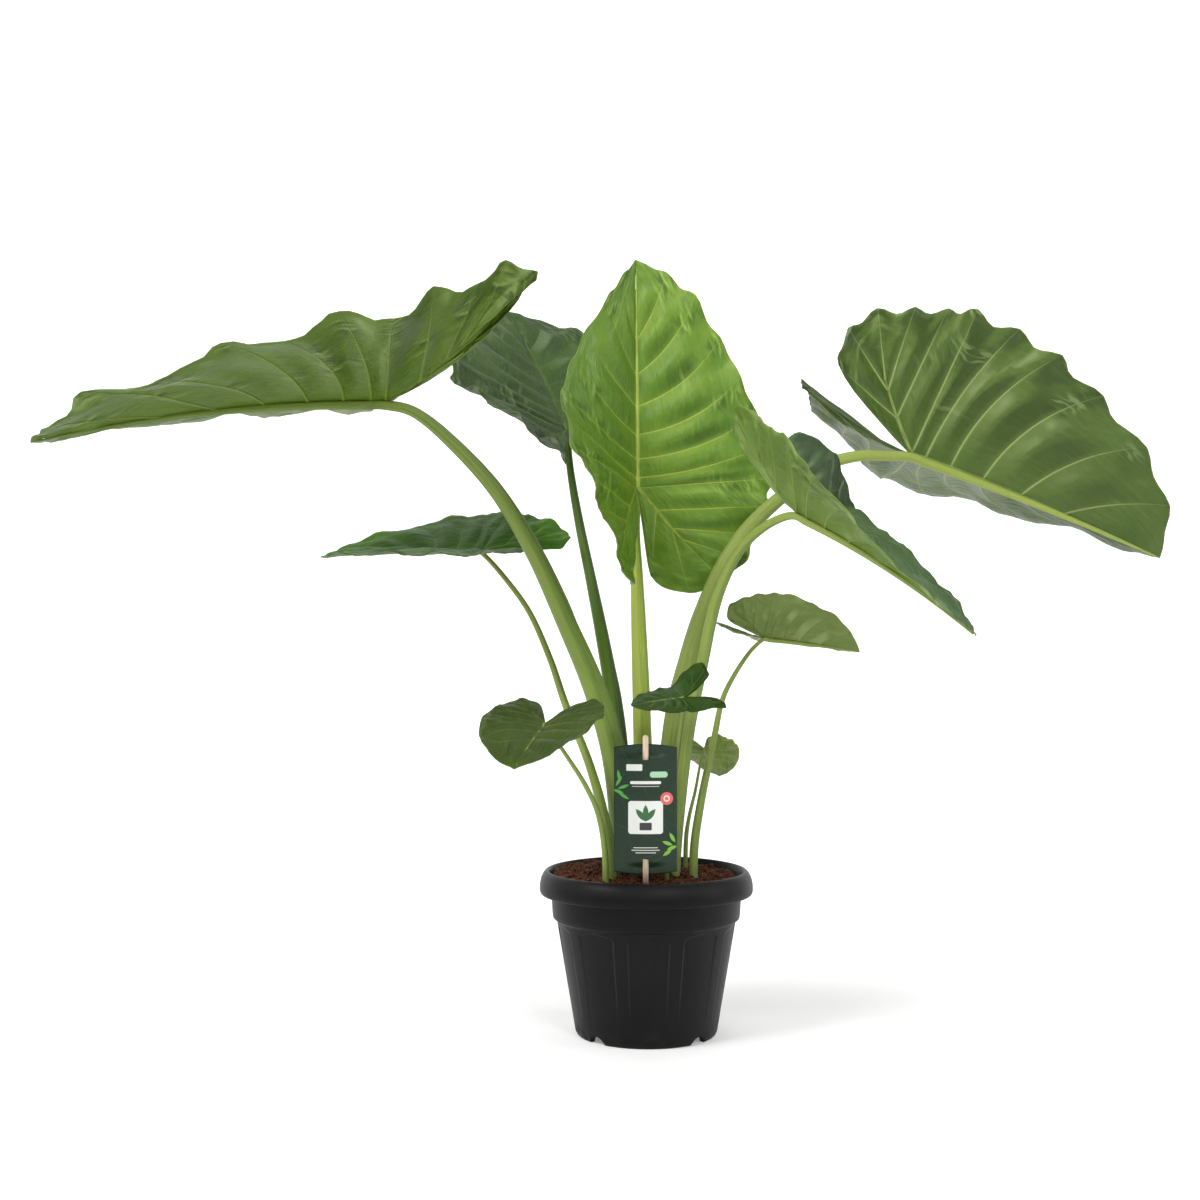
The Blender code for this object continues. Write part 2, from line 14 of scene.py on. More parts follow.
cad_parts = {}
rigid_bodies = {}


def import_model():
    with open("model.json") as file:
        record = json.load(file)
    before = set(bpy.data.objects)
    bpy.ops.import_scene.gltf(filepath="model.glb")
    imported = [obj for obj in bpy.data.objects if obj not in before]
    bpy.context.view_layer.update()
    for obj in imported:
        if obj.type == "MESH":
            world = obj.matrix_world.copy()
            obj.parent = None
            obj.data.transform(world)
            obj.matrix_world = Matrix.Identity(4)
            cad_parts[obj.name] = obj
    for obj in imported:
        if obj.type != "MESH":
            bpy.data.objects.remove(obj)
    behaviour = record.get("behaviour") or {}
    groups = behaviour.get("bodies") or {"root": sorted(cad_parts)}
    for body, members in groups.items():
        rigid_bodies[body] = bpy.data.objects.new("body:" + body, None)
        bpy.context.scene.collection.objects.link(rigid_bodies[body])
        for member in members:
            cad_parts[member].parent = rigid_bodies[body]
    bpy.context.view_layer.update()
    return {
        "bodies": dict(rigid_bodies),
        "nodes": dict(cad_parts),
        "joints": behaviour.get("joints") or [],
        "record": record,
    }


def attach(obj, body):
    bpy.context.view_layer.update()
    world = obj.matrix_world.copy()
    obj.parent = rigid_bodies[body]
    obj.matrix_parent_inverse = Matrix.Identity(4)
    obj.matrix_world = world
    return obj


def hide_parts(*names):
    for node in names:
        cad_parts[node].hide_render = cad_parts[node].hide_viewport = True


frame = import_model()

# The studio: a pale sweep of floor that curves up into a back wall, a bright room all round,
# one large soft light high at the left, and weaker ones that draw the gleams on the pot's rim.
for name in ("Cube", "Light", "Camera"):
    if name in bpy.data.objects:
        bpy.data.objects.remove(bpy.data.objects[name])
scene = bpy.context.scene
scene.view_settings.view_transform = "Standard"


class Number:
    """A number that changes over a surface, so that sums on it are written out as they are."""

    def __init__(self, finish, socket):
        self.finish = finish
        self.socket = socket

    def maths(self, operation, *values):
        return self.finish.add("Math", {"operation": operation}, dict(enumerate(values)))

    def __add__(self, other):
        return self.maths("ADD", self, other)

    def __sub__(self, other):
        return self.maths("SUBTRACT", self, other)

    def __rsub__(self, other):
        return self.maths("SUBTRACT", other, self)

    def __mul__(self, other):
        return self.maths("MULTIPLY", self, other)

    def __truediv__(self, other):
        return self.maths("DIVIDE", self, other)

    def __pow__(self, other):
        return self.maths("POWER", self, other)

    def __abs__(self):
        return self.maths("ABSOLUTE", self)

    __radd__ = __add__
    __rmul__ = __mul__

    def most(self, other):
        return self.maths("MAXIMUM", self, other)

    def fade(self, start, end, low=0.0, high=1.0):
        """Eases from low to high as the number goes from start to end."""
        return self.finish.add(
            "MapRange",
            {"interpolation_type": "SMOOTHSTEP"},
            {"Value": self, "From Min": start, "From Max": end, "To Min": low, "To Max": high},
        )


class Finish:
    """What a surface is made of: a material, its nodes and its tone, the colour built up so far."""

    def __init__(self, name, roughness, specular=0.5):
        self.material = bpy.data.materials.new(name)
        self.material.use_nodes = True
        self.tree = self.material.node_tree
        self.shader = self.tree.nodes["Principled BSDF"]
        self.shader.inputs["Roughness"].default_value = roughness
        self.shader.inputs["Specular IOR Level"].default_value = specular

    def add(self, kind, settings, values, output=0):
        node = self.tree.nodes.new("ShaderNode" + kind)
        for key, value in settings.items():
            setattr(node, key, value)
        for key, value in values.items():
            if isinstance(value, Number):
                self.tree.links.new(value.socket, node.inputs[key])
            else:
                node.inputs[key].default_value = value
        return Number(self, node.outputs[output])

    def place(self):
        return self.add("TexCoord", {}, {}, "Object")

    def axes(self, vector):
        parts = self.add("SeparateXYZ", {}, {"Vector": vector})
        outputs = parts.socket.node.outputs
        return [Number(self, outputs[name]) for name in "XYZ"]

    def vector(self, x, y, z=0.0):
        return self.add("CombineXYZ", {}, {"X": x, "Y": y, "Z": z})

    def stretched(self, vector, scale):
        return self.add("Mapping", {}, {"Vector": vector, "Scale": scale})

    def noise(self, vector, scale, detail=3.0, roughness=0.55, distortion=0.0):
        sizes = {
            "Vector": vector, "Scale": scale, "Detail": detail,
            "Roughness": roughness, "Distortion": distortion,
        }
        return self.add("TexNoise", {}, sizes, "Fac")

    def cells(self, vector, scale):
        return self.add("TexVoronoi", {}, {"Vector": vector, "Scale": scale}, "Distance")

    def attribute(self, name):
        return self.add("Attribute", {"attribute_name": name}, {}, "Fac")

    def blend(self, share, first, second):
        """A colour: the first where the share is 0 and the second where it is 1."""
        return self.add("Mix", {"data_type": "RGBA"}, {0: share, 6: first, 7: second}, 2)

    def coat(self, share, over):
        """Covers the tone with another colour where the share is 1."""
        self.tone = self.blend(share, self.tone, over)

    def feed(self, socket, value):
        self.tree.links.new(value.socket, self.shader.inputs[socket])

    def relief(self, height, depth):
        """Raises the surface by the height, in metres where the depth is 1."""
        bump = self.add("Bump", {}, {"Height": height, "Distance": depth, "Strength": 1.0}, "Normal")
        self.feed("Normal", bump)


def colour(red, green, blue):
    """A colour from screen values of 0 to 255."""
    parts = []
    for value in (red, green, blue):
        share = value / 255
        parts.append(share / 12.92 if share <= 0.04045 else ((share + 0.055) / 1.055) ** 2.4)
    return (*parts, 1.0)


def finished(name, bm, *materials):
    """The modelled shape as an object of the scene, shaded smooth, with its materials."""
    mesh = bpy.data.meshes.new(name)
    bm.to_mesh(mesh)
    bm.free()
    piece = bpy.data.objects.new(name, mesh)
    scene.collection.objects.link(piece)
    for made in materials:
        mesh.materials.append(made)
    mesh.shade_smooth()
    return piece


FLOOR_REACH = 6.0
WALL_AT = 4.0
WALL_CURVE = 1.6
CURVE_STEPS = 16

sweep = bmesh.new()
edge = [
    sweep.verts.new((-FLOOR_REACH, -FLOOR_REACH, 0)),
    sweep.verts.new((FLOOR_REACH, -FLOOR_REACH, 0)),
]
rail = [sweep.edges.new(edge)]
steps = [(WALL_AT - WALL_CURVE, 0)]
for k in range(1, CURVE_STEPS + 1):
    angle = radians(90 * k / CURVE_STEPS)
    steps.append((
        WALL_AT - WALL_CURVE + WALL_CURVE * sin(angle),
        WALL_CURVE * (1 - cos(angle)),
    ))
steps.append((WALL_AT, FLOOR_REACH))
for y, z in steps:
    grown = bmesh.ops.extrude_edge_only(sweep, edges=rail)
    moved = [item for item in grown["geom"] if isinstance(item, bmesh.types.BMVert)]
    rail = [item for item in grown["geom"] if isinstance(item, bmesh.types.BMEdge)]
    for vert in moved:
        vert.co.y = y
        vert.co.z = z
bmesh.ops.recalc_face_normals(sweep, faces=sweep.faces)
paper = Finish("pale_paper", 0.9, 0.0)
paper.shader.inputs["Base Color"].default_value = colour(244, 244, 244)
# The paper glows with painted light: faintly on the floor near the pot, more on the back wall
paper.shader.inputs["Emission Strength"].default_value = 1.0
far_off = paper.axes(paper.place())[1].fade(0.2, 2.2)
paper.feed("Emission Color", paper.blend(far_off, (0.23, 0.23, 0.23, 1.0), (0.58, 0.58, 0.58, 1.0)))
floor = finished("studio_floor", sweep, paper.material)

room = bpy.data.worlds.new("bright_room")
scene.world = room
room.use_nodes = True
daylight = room.node_tree.nodes["Background"].inputs
daylight["Color"].default_value = (1.0, 1.0, 1.0, 1.0)
daylight["Strength"].default_value = 0.4


def soft_light(name, place, aim, width, height, power):
    lamp = bpy.data.lights.new(name, "AREA")
    lamp.shape = "RECTANGLE"
    lamp.size = width
    lamp.size_y = height
    lamp.energy = power
    placed = bpy.data.objects.new(name, lamp)
    scene.collection.objects.link(placed)
    placed.location = place
    placed.rotation_euler = (Vector(aim) - Vector(place)).to_track_quat("-Z", "Y").to_euler()


soft_light("high_left_light", (-2.2, -1.6, 2.9), (0, 0, 0.45), 1.4, 1.4, 80)
soft_light("right_light", (2.6, -0.7, 1.0), (0, 0, 0.4), 0.8, 2.0, 12)
soft_light("front_light", (1.0, -2.7, 1.9), (0.1, 0, 0.6), 0.6, 0.6, 20)
soft_light("top_light", (0.9, -0.2, 3.0), (0.1, 0, 0.5), 1.0, 1.0, 26)

# The camera stands 1.8 m in front of the pot at the height of the lower leaves, and looks
# very slightly upwards, so that the wide plant fills the picture.
CAMERA_PLACE = (-0.0515, -1.8, 0.441)
CAMERA_TILT = 1.28

lens = bpy.data.cameras.new("camera")
lens.lens = 48.2
lens.sensor_width = 36.0
camera = bpy.data.objects.new("camera", lens)
scene.collection.objects.link(camera)
camera.location = CAMERA_PLACE
camera.rotation_euler = (radians(90 + CAMERA_TILT), 0, 0)
scene.camera = camera

# The nursery pot: one injection moulding in black polypropylene, satin, with a rolled bell rim,
# a plain collar, ten shallow panels let into its tapering side, and a ring of feet with notches.
PANELS = 10
PANEL_HALF_ANGLE = 13.0
PANEL_DEPTH = 0.0013
PANEL_BOTTOM = 0.012
PANEL_TOP = 0.123
PANEL_ARCH = 0.005
PANEL_EDGE = 0.6
POT_FLOOR = 0.012
FOOT_HEIGHT = 0.009
NOTCHES = 4
NOTCH_HALF_WIDTH = 0.011
NOTCH_AT = 0.075
NOTCH_DEPTH = 0.02
FOOT_RING = 0.0705
SIDE_LOW = 0.004
SIDE_LOW_RADIUS = 0.0790
SIDE_TOP = 0.125
SIDE_TOP_RADIUS = 0.0995
POT_TURNS = 720
RIM_STEPS = 3


def smooth(points, position):
    """Catmull-Rom curve through a row of points, at a position counted in points."""
    last = len(points) - 1
    start = min(int(position), last - 1)
    part = position - start
    before, here, after, beyond = (
        Vector(points[min(max(k, 0), last)]) for k in range(start - 1, start + 3)
    )
    if start == 0:
        before = 2 * here - after
    if start == last - 1:
        beyond = 2 * after - here
    return 0.5 * (
        2 * here
        + (after - before) * part
        + (2 * before - 5 * here + 4 * after - beyond) * part**2
        + (3 * here - before - 3 * after + beyond) * part**3
    )


def eased(value, start, end):
    share = min(max((value - start) / (end - start), 0.0), 1.0)
    return share * share * (3 - 2 * share)


def side_radius(height):
    flare = SIDE_TOP_RADIUS - SIDE_LOW_RADIUS
    return SIDE_LOW_RADIUS + flare * (height - SIDE_LOW) / (SIDE_TOP - SIDE_LOW)


def spun(outline, turns):
    """A round shape, turned from its outline of (radius, height) points."""
    bm = bmesh.new()
    drawn = [bm.verts.new((radius, 0, height)) for radius, height in outline]
    lines = [bm.edges.new(pair) for pair in zip(drawn, drawn[1:])]
    bmesh.ops.spin(
        bm, geom=drawn + lines, cent=(0, 0, 0), axis=(0, 0, 1), dvec=(0, 0, 0),
        angle=radians(360), steps=turns, use_merge=True,
    )
    bmesh.ops.remove_doubles(bm, verts=bm.verts, dist=0.000005)
    return bm


def as_mesh(piece):
    """The object's mesh with its modifiers worked in, or a curve's tube."""
    bpy.context.view_layer.update()
    return bpy.data.meshes.new_from_object(piece.evaluated_get(bpy.context.evaluated_depsgraph_get()))


outline = [(0.0, 0.0), (0.020, 0.0), (0.020, FOOT_HEIGHT), (FOOT_RING, FOOT_HEIGHT), (FOOT_RING, 0.0)]
outline += [(0.0755, 0.0), (0.0765, 0.0003), (0.0775, 0.0012), (0.0784, 0.0028)]
outline += [(side_radius(z), z) for z in (0.0045, 0.0065, 0.0085, 0.0105, 0.014, 0.020, 0.026)]
outline += [(side_radius(z / 1000), z / 1000) for z in (30, 45, 60, 75, 90, 105)]
outline += [(side_radius(z / 1000), z / 1000) for z in range(114, 125)]
outline += [(0.0997, 0.1256), (0.1006, 0.1264), (0.1026, 0.1276), (0.1036, 0.1286), (0.1041, 0.1300)]
rim = [
    (0.1045, 0.134), (0.1052, 0.145), (0.1058, 0.158), (0.1066, 0.168), (0.1095, 0.1755),
    (0.1132, 0.1715), (0.1155, 0.1635), (0.1153, 0.1572), (0.1160, 0.1551), (0.1175, 0.1556),
    (0.1187, 0.1590), (0.1186, 0.1650), (0.1172, 0.1720), (0.1145, 0.1775), (0.1112, 0.1805),
    (0.1088, 0.1797), (0.1068, 0.1750), (0.1045, 0.1665), (0.1034, 0.1560), (0.1028, 0.145),
]
for k in range((len(rim) - 1) * RIM_STEPS + 1):
    outline.append(tuple(smooth([(*point, 0.0) for point in rim], k / RIM_STEPS)[:2]))
outline += [(0.1020, 0.130), (0.0970, 0.124), (0.0785, 0.0145), (0.0765, POT_FLOOR), (0.0, POT_FLOOR)]

pot = spun(outline, POT_TURNS)
# How near a place is to a panel's upright edges, which get a paler painted highlight
edge_gleam = pot.verts.layers.float.new("painted_edge_gleam")
for vert in pot.verts:
    radius = hypot(vert.co.x, vert.co.y)
    if abs(radius - side_radius(vert.co.z)) < 0.001 and vert.co.z > 0.02:
        turned = degrees(atan2(vert.co.y, vert.co.x)) + 90
        offset = (turned + 180 / PANELS) % (360 / PANELS) - 180 / PANELS
        top = PANEL_TOP - PANEL_ARCH * (offset / PANEL_HALF_ANGLE) ** 2
        inside = 1 - eased(abs(offset), PANEL_HALF_ANGLE - PANEL_EDGE, PANEL_HALF_ANGLE + PANEL_EDGE)
        inside *= min(max((vert.co.z - PANEL_BOTTOM) / (PANEL_TOP - PANEL_BOTTOM), 0.0), 1.0)
        inside *= 1 - eased(vert.co.z, top - 0.0015, top + 0.0012)
        beside = abs(abs(offset) - PANEL_HALF_ANGLE - 0.3) / 0.7
        vert[edge_gleam] = max(0.0, 1 - beside) * (1 - eased(vert.co.z, top - 0.004, top))
        vert[edge_gleam] *= eased(vert.co.z, 0.02, 0.07)
        share = 1 - PANEL_DEPTH * inside / radius
        vert.co.x *= share
        vert.co.y *= share
bmesh.ops.recalc_face_normals(pot, faces=pot.faces)

notches = bmesh.new()
for k in range(NOTCHES):
    placed = (
        Matrix.Rotation(radians(45 + 360 / NOTCHES * k), 4, "Z")
        @ Matrix.Translation((NOTCH_AT, 0, 0))
        @ Matrix.Diagonal((1, NOTCH_HALF_WIDTH, FOOT_HEIGHT - 0.0002, 1))
        @ Matrix.Rotation(radians(90), 4, "Y")
    )
    bmesh.ops.create_cone(
        notches, cap_ends=True, segments=48, radius1=1, radius2=1, depth=NOTCH_DEPTH, matrix=placed,
    )

plastic = Finish("black_plastic", 0.4, 0.16)
where = plastic.place()
up = plastic.axes(where)[2]
cloudy = plastic.noise(where, 18.0, 4.0)
flow = plastic.noise(plastic.stretched(where, (1.0, 1.0, 0.12)), 120.0, 3.0)
grain = plastic.noise(where, 1500.0, 2.0)
dust = up.fade(0.03, 0.0) * plastic.noise(where, 60.0, 4.0).fade(0.42, 0.7)
plastic.tone = plastic.blend(cloudy.fade(0.3, 0.7), colour(9, 9, 10), colour(15, 15, 16))
# Painted light on the top of the rim, and painted shade on the collar under the rim's lip
plastic.coat(up.fade(0.164, 0.172) * 0.8, colour(30, 30, 32))
plastic.coat(up.fade(0.124, 0.134) * up.fade(0.166, 0.160) * 0.8, colour(2, 2, 5))
# Painted highlight along the panels' upright edges
plastic.coat(plastic.attribute("painted_edge_gleam") * 0.5, colour(52, 52, 54))
plastic.coat(dust * 0.15, colour(70, 66, 60))
plastic.feed("Base Color", plastic.tone)
plastic.feed("Roughness", 0.36 + cloudy * 0.10 + flow * 0.06 + dust * 0.25)
plastic.relief(grain * 0.00002 + flow * 0.00003 + cloudy * 0.0002, 1.0)
shell = finished("nursery_pot", pot, plastic.material)
cutter = finished("pot_notches", notches, plastic.material)
cut = shell.modifiers.new("notches", "BOOLEAN")
cut.object = cutter
cut.solver = "EXACT"
cut_mesh = as_mesh(shell)
shell.modifiers.clear()
shell.data = cut_mesh
bpy.data.objects.remove(cutter)
cut_mesh.set_sharp_from_angle(angle=radians(38))
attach(shell, "root")
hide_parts("pot")

# The potting soil: moist coir and peat, heaped in a low mound round the stalks and sunk a little
# at the right, with loose crumbs and strands of coir fibre lying on it.
SOIL_LEVEL = 0.1745
SOIL_SLOPE = 0.03
SOIL_MOUND = 0.011
SOIL_MOUND_RADIUS = 0.055
SOIL_EDGE = 0.1033
SOIL_GAP = 0.0004
SOIL_RINGS = 70
SOIL_TURNS = 300
CRUMBS = 1900
CRUMB_REACH = 0.100
FIBRES = 560
FIBRE_REACH = 0.094
FIBRE_STEPS = 7
FIBRE_RADIUS = 0.00022


def soil_height(x, y):
    away = hypot(x, y)
    mound = SOIL_MOUND * exp(-((away / SOIL_MOUND_RADIUS) ** 2))
    lumps = 0.0012 * sin(95 * x + 1.3) * cos(80 * y) + 0.0008 * sin(210 * x + 170 * y)
    return SOIL_LEVEL + mound - SOIL_SLOPE * x + lumps


def soil_surface(x, y):
    """The heaped surface with its crumbs."""
    at = Vector((x, y, 0.0))
    crumbs = 0.0022 * noise.noise(at * 90) + 0.0016 * noise.noise(at * 210)
    crumbs += 0.0012 * abs(noise.noise(at * 420)) + 0.0006 * noise.noise(at * 900)
    return soil_height(x, y) + crumbs


side = [(0.0, POT_FLOOR + SOIL_GAP), (0.0762, POT_FLOOR + SOIL_GAP), (0.0780, 0.0150)]
side += [(0.0965, 0.1245), (0.1014, 0.1303), (0.1025, 0.150)]
side += [(SOIL_EDGE * (1 - k / SOIL_RINGS), 0.17) for k in range(SOIL_RINGS + 1)]
soil = spun(side, SOIL_TURNS)
for vert in soil.verts:
    if vert.co.z > 0.16:
        vert.co.z = soil_surface(vert.co.x, vert.co.y)
bmesh.ops.recalc_face_normals(soil, faces=soil.faces)

coir = Finish("coir_soil", 0.95, 0.25)
where = coir.place()
patches = coir.noise(where, 55.0, 4.0)
grit = coir.cells(where, 420.0)
strands = coir.noise(coir.stretched(where, (1.0, 0.25, 0.6)), 900.0, 3.0)
coir.tone = coir.blend(patches.fade(0.3, 0.7), colour(38, 19, 13), colour(84, 46, 31))
coir.coat(grit.fade(0.2, 0.75) * 0.55, colour(118, 70, 46))
coir.coat(strands.fade(0.62, 0.78) * 0.6, colour(150, 102, 68))
coir.feed("Base Color", coir.tone)
coir.relief(patches * 0.0016 + grit * 0.0016 + strands * 0.0010, 1.0)
heap = finished("potting_soil", soil, coir.material)
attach(heap, "root")
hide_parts("soil")

chance = random.Random(7)


def somewhere(limit):
    angle = chance.uniform(0, 2 * pi)
    away = limit * sqrt(chance.uniform(0.0, 1.0))
    return away * cos(angle), away * sin(angle)


crumbs = bmesh.new()
for _ in range(CRUMBS):
    x, y = somewhere(CRUMB_REACH)
    size = 0.0006 + 0.0034 * chance.random() ** 4
    turned = Matrix.Rotation(chance.uniform(0, 6.3), 4, Vector((chance.random(), 0.4, 0.3)).normalized())
    placed = (
        Matrix.Translation((x, y, soil_surface(x, y) + size * 0.2))
        @ turned
        @ Matrix.Diagonal((size * chance.uniform(0.8, 1.9), size, size * 0.7, 1))
    )
    bmesh.ops.create_icosphere(crumbs, subdivisions=1, radius=1, matrix=placed)
loose = finished("soil_crumbs", crumbs, coir.material)
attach(loose, "root")

fibre = Finish("coir_fibre", 0.8)
where = fibre.place()
shade = fibre.noise(where, 140.0, 2.0)
fibre.feed("Base Color", fibre.blend(shade.fade(0.35, 0.65), colour(66, 36, 22), colour(158, 108, 70)))
fibre.relief(fibre.noise(where, 2500.0, 2.0), 0.0001)
threads = bpy.data.curves.new("coir_fibres", "CURVE")
threads.dimensions = "3D"
threads.bevel_depth = FIBRE_RADIUS
threads.bevel_resolution = 0
for _ in range(FIBRES):
    x, y = somewhere(FIBRE_REACH)
    heading = chance.uniform(0, 2 * pi)
    bend = chance.uniform(-0.5, 0.5)
    length = chance.uniform(0.006, 0.020)
    arch = chance.uniform(0.0005, 0.0030)
    strand = threads.splines.new("POLY")
    strand.points.add(FIBRE_STEPS)
    for step, point in enumerate(strand.points):
        share = step / FIBRE_STEPS
        height = soil_surface(x, y) + 0.0003 + arch * sin(pi * share)
        point.co = (x, y, height, 1)
        point.radius = 1 - 0.6 * share
        x += length / FIBRE_STEPS * cos(heading)
        y += length / FIBRE_STEPS * sin(heading)
        heading += bend / 2
        if hypot(x, y) > 0.099:
            heading += pi
drawn_threads = bpy.data.objects.new("coir_fibre_curves", threads)
scene.collection.objects.link(drawn_threads)
tangle = bpy.data.objects.new("coir_fibres", as_mesh(drawn_threads))
scene.collection.objects.link(tangle)
bpy.data.objects.remove(drawn_threads)
tangle.data.materials.clear()
tangle.data.materials.append(fibre.material)
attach(tangle, "root")

# The ten leaves. Each has its own size, place and bend: the joint of stalk and blade, its length,
# the way it points, and for its left and right half (seen from above, tip ahead) how far each is
# folded up and how its lobe and margin run. The stalk's way down is a row of points with a radius.
STALK_FOOT = 0.205
STALK_BOTTOM = 0.14
# The sizes of a leaf whose own entry doesn't give them
PLAIN_LEAF = dict(
    roll=0, width=(1, 1), lobe=(1, 1), narrow=(0, 0), fold=(0, 0), fold_tip=(0, 0), fold_lobe=(0, 0),
    lift=(0, 0), close=0, blunt=0, veins=14, scallop=0.018, wave=(0.006, 0.015, 0.015),
)
LEAVES = {
    "leaf_1": dict(
        joint=(-0.286, -0.05, 0.698), length=0.372, heading=193, pitch=-1, roll=10, droop=15,
        width=(1.0, 0.9), lobe=(1.27, 0.6), fold=(8, 14), fold_tip=(-8, 0), fold_lobe=(22, 50),
        lift=(21, 75), narrow=(0.3, 0.2), wave=(0.003, 0.024, 0.008), close=-22, blunt=0.04,
        scallop=0.012,
        stalk=((-0.254, -0.050, 0.685, 0.0060), (-0.216, -0.046, 0.655, 0.0072),
               (-0.166, -0.045, 0.601, 0.0084), (-0.124, -0.042, 0.533, 0.0098),
               (-0.089, -0.038, 0.458, 0.0115), (-0.056, -0.034, 0.381, 0.0135),
               (-0.034, -0.028, 0.304, 0.0150), (-0.024, -0.024, STALK_FOOT, 0.0155)),
    ),
    "leaf_2": dict(
        joint=(-0.091, 0.20, 0.697), length=0.295, heading=112, pitch=43, roll=20, droop=5,
        width=(1.08, 1.0), fold=(1, 25), fold_lobe=(24, 0),
        stalk=((-0.088, 0.192, 0.645, 0.0046), (-0.077, 0.165, 0.580, 0.0056),
               (-0.062, 0.130, 0.507, 0.0066), (-0.048, 0.094, 0.436, 0.0080),
               (-0.036, 0.062, 0.367, 0.0092), (-0.029, 0.040, 0.300, 0.0100),
               (-0.026, 0.023, STALK_FOOT, 0.0105)),
    ),
    "leaf_3": dict(
        joint=(-0.009, 0.04, 0.611), length=0.280, heading=90, pitch=82, droop=5, close=14,
        width=(1.15, 1.03), fold=(68, 5), fold_tip=(-66, 0), fold_lobe=(16, 0),
        narrow=(0.75, 0.18), blunt=0.02, scallop=0.014, wave=(0.004, 0.012, 0.012),
        stalk=((-0.011, 0.056, 0.563, 0.0058), (-0.009, 0.054, 0.511, 0.0072),
               (-0.006, 0.044, 0.425, 0.0092), (-0.003, 0.032, 0.324, 0.0105),
               (-0.001, 0.024, STALK_FOOT, 0.0110)),
    ),
    "leaf_4": dict(
        joint=(0.298, 0.0, 0.645), length=0.298, heading=0, pitch=-20, roll=-41, droop=8,
        width=(1.1, 1.06), lobe=(1.85, 1.08), fold=(37, 33), fold_tip=(10, 0), lift=(37, 18),
        wave=(0.006, 0.012, 0.012), veins=12, blunt=0.04, scallop=0.022,
        stalk=((0.274, 0.000, 0.643, 0.0058), (0.240, 0.000, 0.643, 0.0062),
               (0.200, -0.002, 0.632, 0.0068), (0.161, -0.004, 0.604, 0.0076),
               (0.121, -0.004, 0.568, 0.0086), (0.090, -0.004, 0.526, 0.0096),
               (0.066, -0.004, 0.470, 0.0120), (0.050, -0.004, 0.414, 0.0145),
               (0.034, -0.004, 0.340, 0.0160), (0.022, -0.008, STALK_FOOT, 0.0165)),
    ),
    "leaf_5": dict(
        joint=(0.152, -0.15, 0.567), length=0.232, heading=-34, pitch=-26, roll=-18, droop=14,
        fold=(24, 20), fold_tip=(-6, -30), fold_lobe=(45, 8), lift=(25, 20), narrow=(0.4, 0.85),
        lobe=(1.0, 1.12), veins=12, scallop=0.004, wave=(0.002, 0.006, 0.006),
        stalk=((0.139, -0.139, 0.564, 0.0042), (0.122, -0.116, 0.556, 0.0046),
               (0.104, -0.086, 0.540, 0.0050), (0.089, -0.062, 0.515, 0.0055),
               (0.074, -0.046, 0.475, 0.0062), (0.061, -0.041, 0.414, 0.0066),
               (0.044, -0.040, 0.327, 0.0066), (0.031, -0.037, STALK_FOOT, 0.0066)),
    ),
    "leaf_6": dict(
        joint=(-0.192, 0.10, 0.542), length=0.215, heading=162, pitch=3, roll=-18, droop=8,
        fold=(13, 10), lift=(7, -10), narrow=(0.2, 0.3), veins=12, scallop=0.010,
        wave=(0.004, 0.012, 0.012),
        stalk=((-0.164, 0.087, 0.510, 0.0030), (-0.133, 0.062, 0.468, 0.0033),
               (-0.108, 0.032, 0.414, 0.0037), (-0.090, 0.002, 0.364, 0.0042),
               (-0.065, -0.028, 0.305, 0.0048), (-0.049, -0.046, 0.252, 0.0054),
               (-0.040, -0.053, STALK_FOOT, 0.0058)),
    ),
    "leaf_7": dict(
        joint=(-0.109, -0.12, 0.350), length=0.108, heading=254, pitch=-19, roll=3, droop=5,
        width=(1.15, 1.1), lobe=(1.1, 1.1), fold=(8, 14), veins=10, scallop=0.005,
        wave=(0.003, 0.010, 0.010),
        stalk=((-0.100, -0.116, 0.335, 0.0020), (-0.086, -0.108, 0.314, 0.0022),
               (-0.067, -0.096, 0.283, 0.0026), (-0.053, -0.084, 0.250, 0.0030),
               (-0.046, -0.075, STALK_FOOT, 0.0034)),
    ),
    "leaf_8": dict(
        joint=(0.135, 0.03, 0.439), length=0.110, heading=0, pitch=-6, roll=-32, droop=5,
        lobe=(1.5, 1.0), fold=(30, 28), lift=(21, 0), veins=10, scallop=0.010,
        wave=(0.004, 0.010, 0.010),
        stalk=((0.119, 0.027, 0.423, 0.0023), (0.099, 0.015, 0.395, 0.0026),
               (0.085, 0.004, 0.367, 0.0030), (0.075, -0.010, 0.325, 0.0036),
               (0.060, -0.028, 0.261, 0.0044), (0.051, -0.040, STALK_FOOT, 0.0048)),
    ),
    "leaf_9": dict(
        joint=(0.037, -0.10, 0.3765), length=0.060, heading=200, pitch=-5, roll=-25, droop=5,
        width=(1.15, 1.15), lobe=(2.2, 1.7), fold=(5, -10), fold_lobe=(0, 45), lift=(-5, 25),
        veins=10, scallop=0.008,
        stalk=((0.036, -0.094, 0.363, 0.0018), (0.034, -0.080, 0.342, 0.0020),
               (0.029, -0.070, 0.300, 0.0023), (0.021, -0.062, STALK_FOOT, 0.0028)),
    ),
    "leaf_10": dict(
        joint=(0.068, 0.05, 0.312), length=0.072, heading=69, pitch=-28, droop=5,
        fold=(10, 10), veins=10, scallop=0.006,
        stalk=((0.063, 0.046, 0.292, 0.0015), (0.057, 0.036, 0.264, 0.0018),
               (0.049, 0.022, 0.235, 0.0022), (0.045, 0.014, STALK_FOOT, 0.0026)),
    ),
}

# The blades: thin waxy sheets, arrow shaped, with a stout midrib and five to seven veins a side
# that leave it, and as many that leave the rib of each lobe. The margin is waved between them.
MIDRIB_VEINED = 0.8
LOBE_RIB = 0.28
LOBE_RIB_ANGLE = 136
VEIN_BOW = 0.10
BACK_REACH = 0.6
MIDRIB_STEPS = 24
BLUNT_REACH = 3
BLADE_THICKNESS = 0.0009
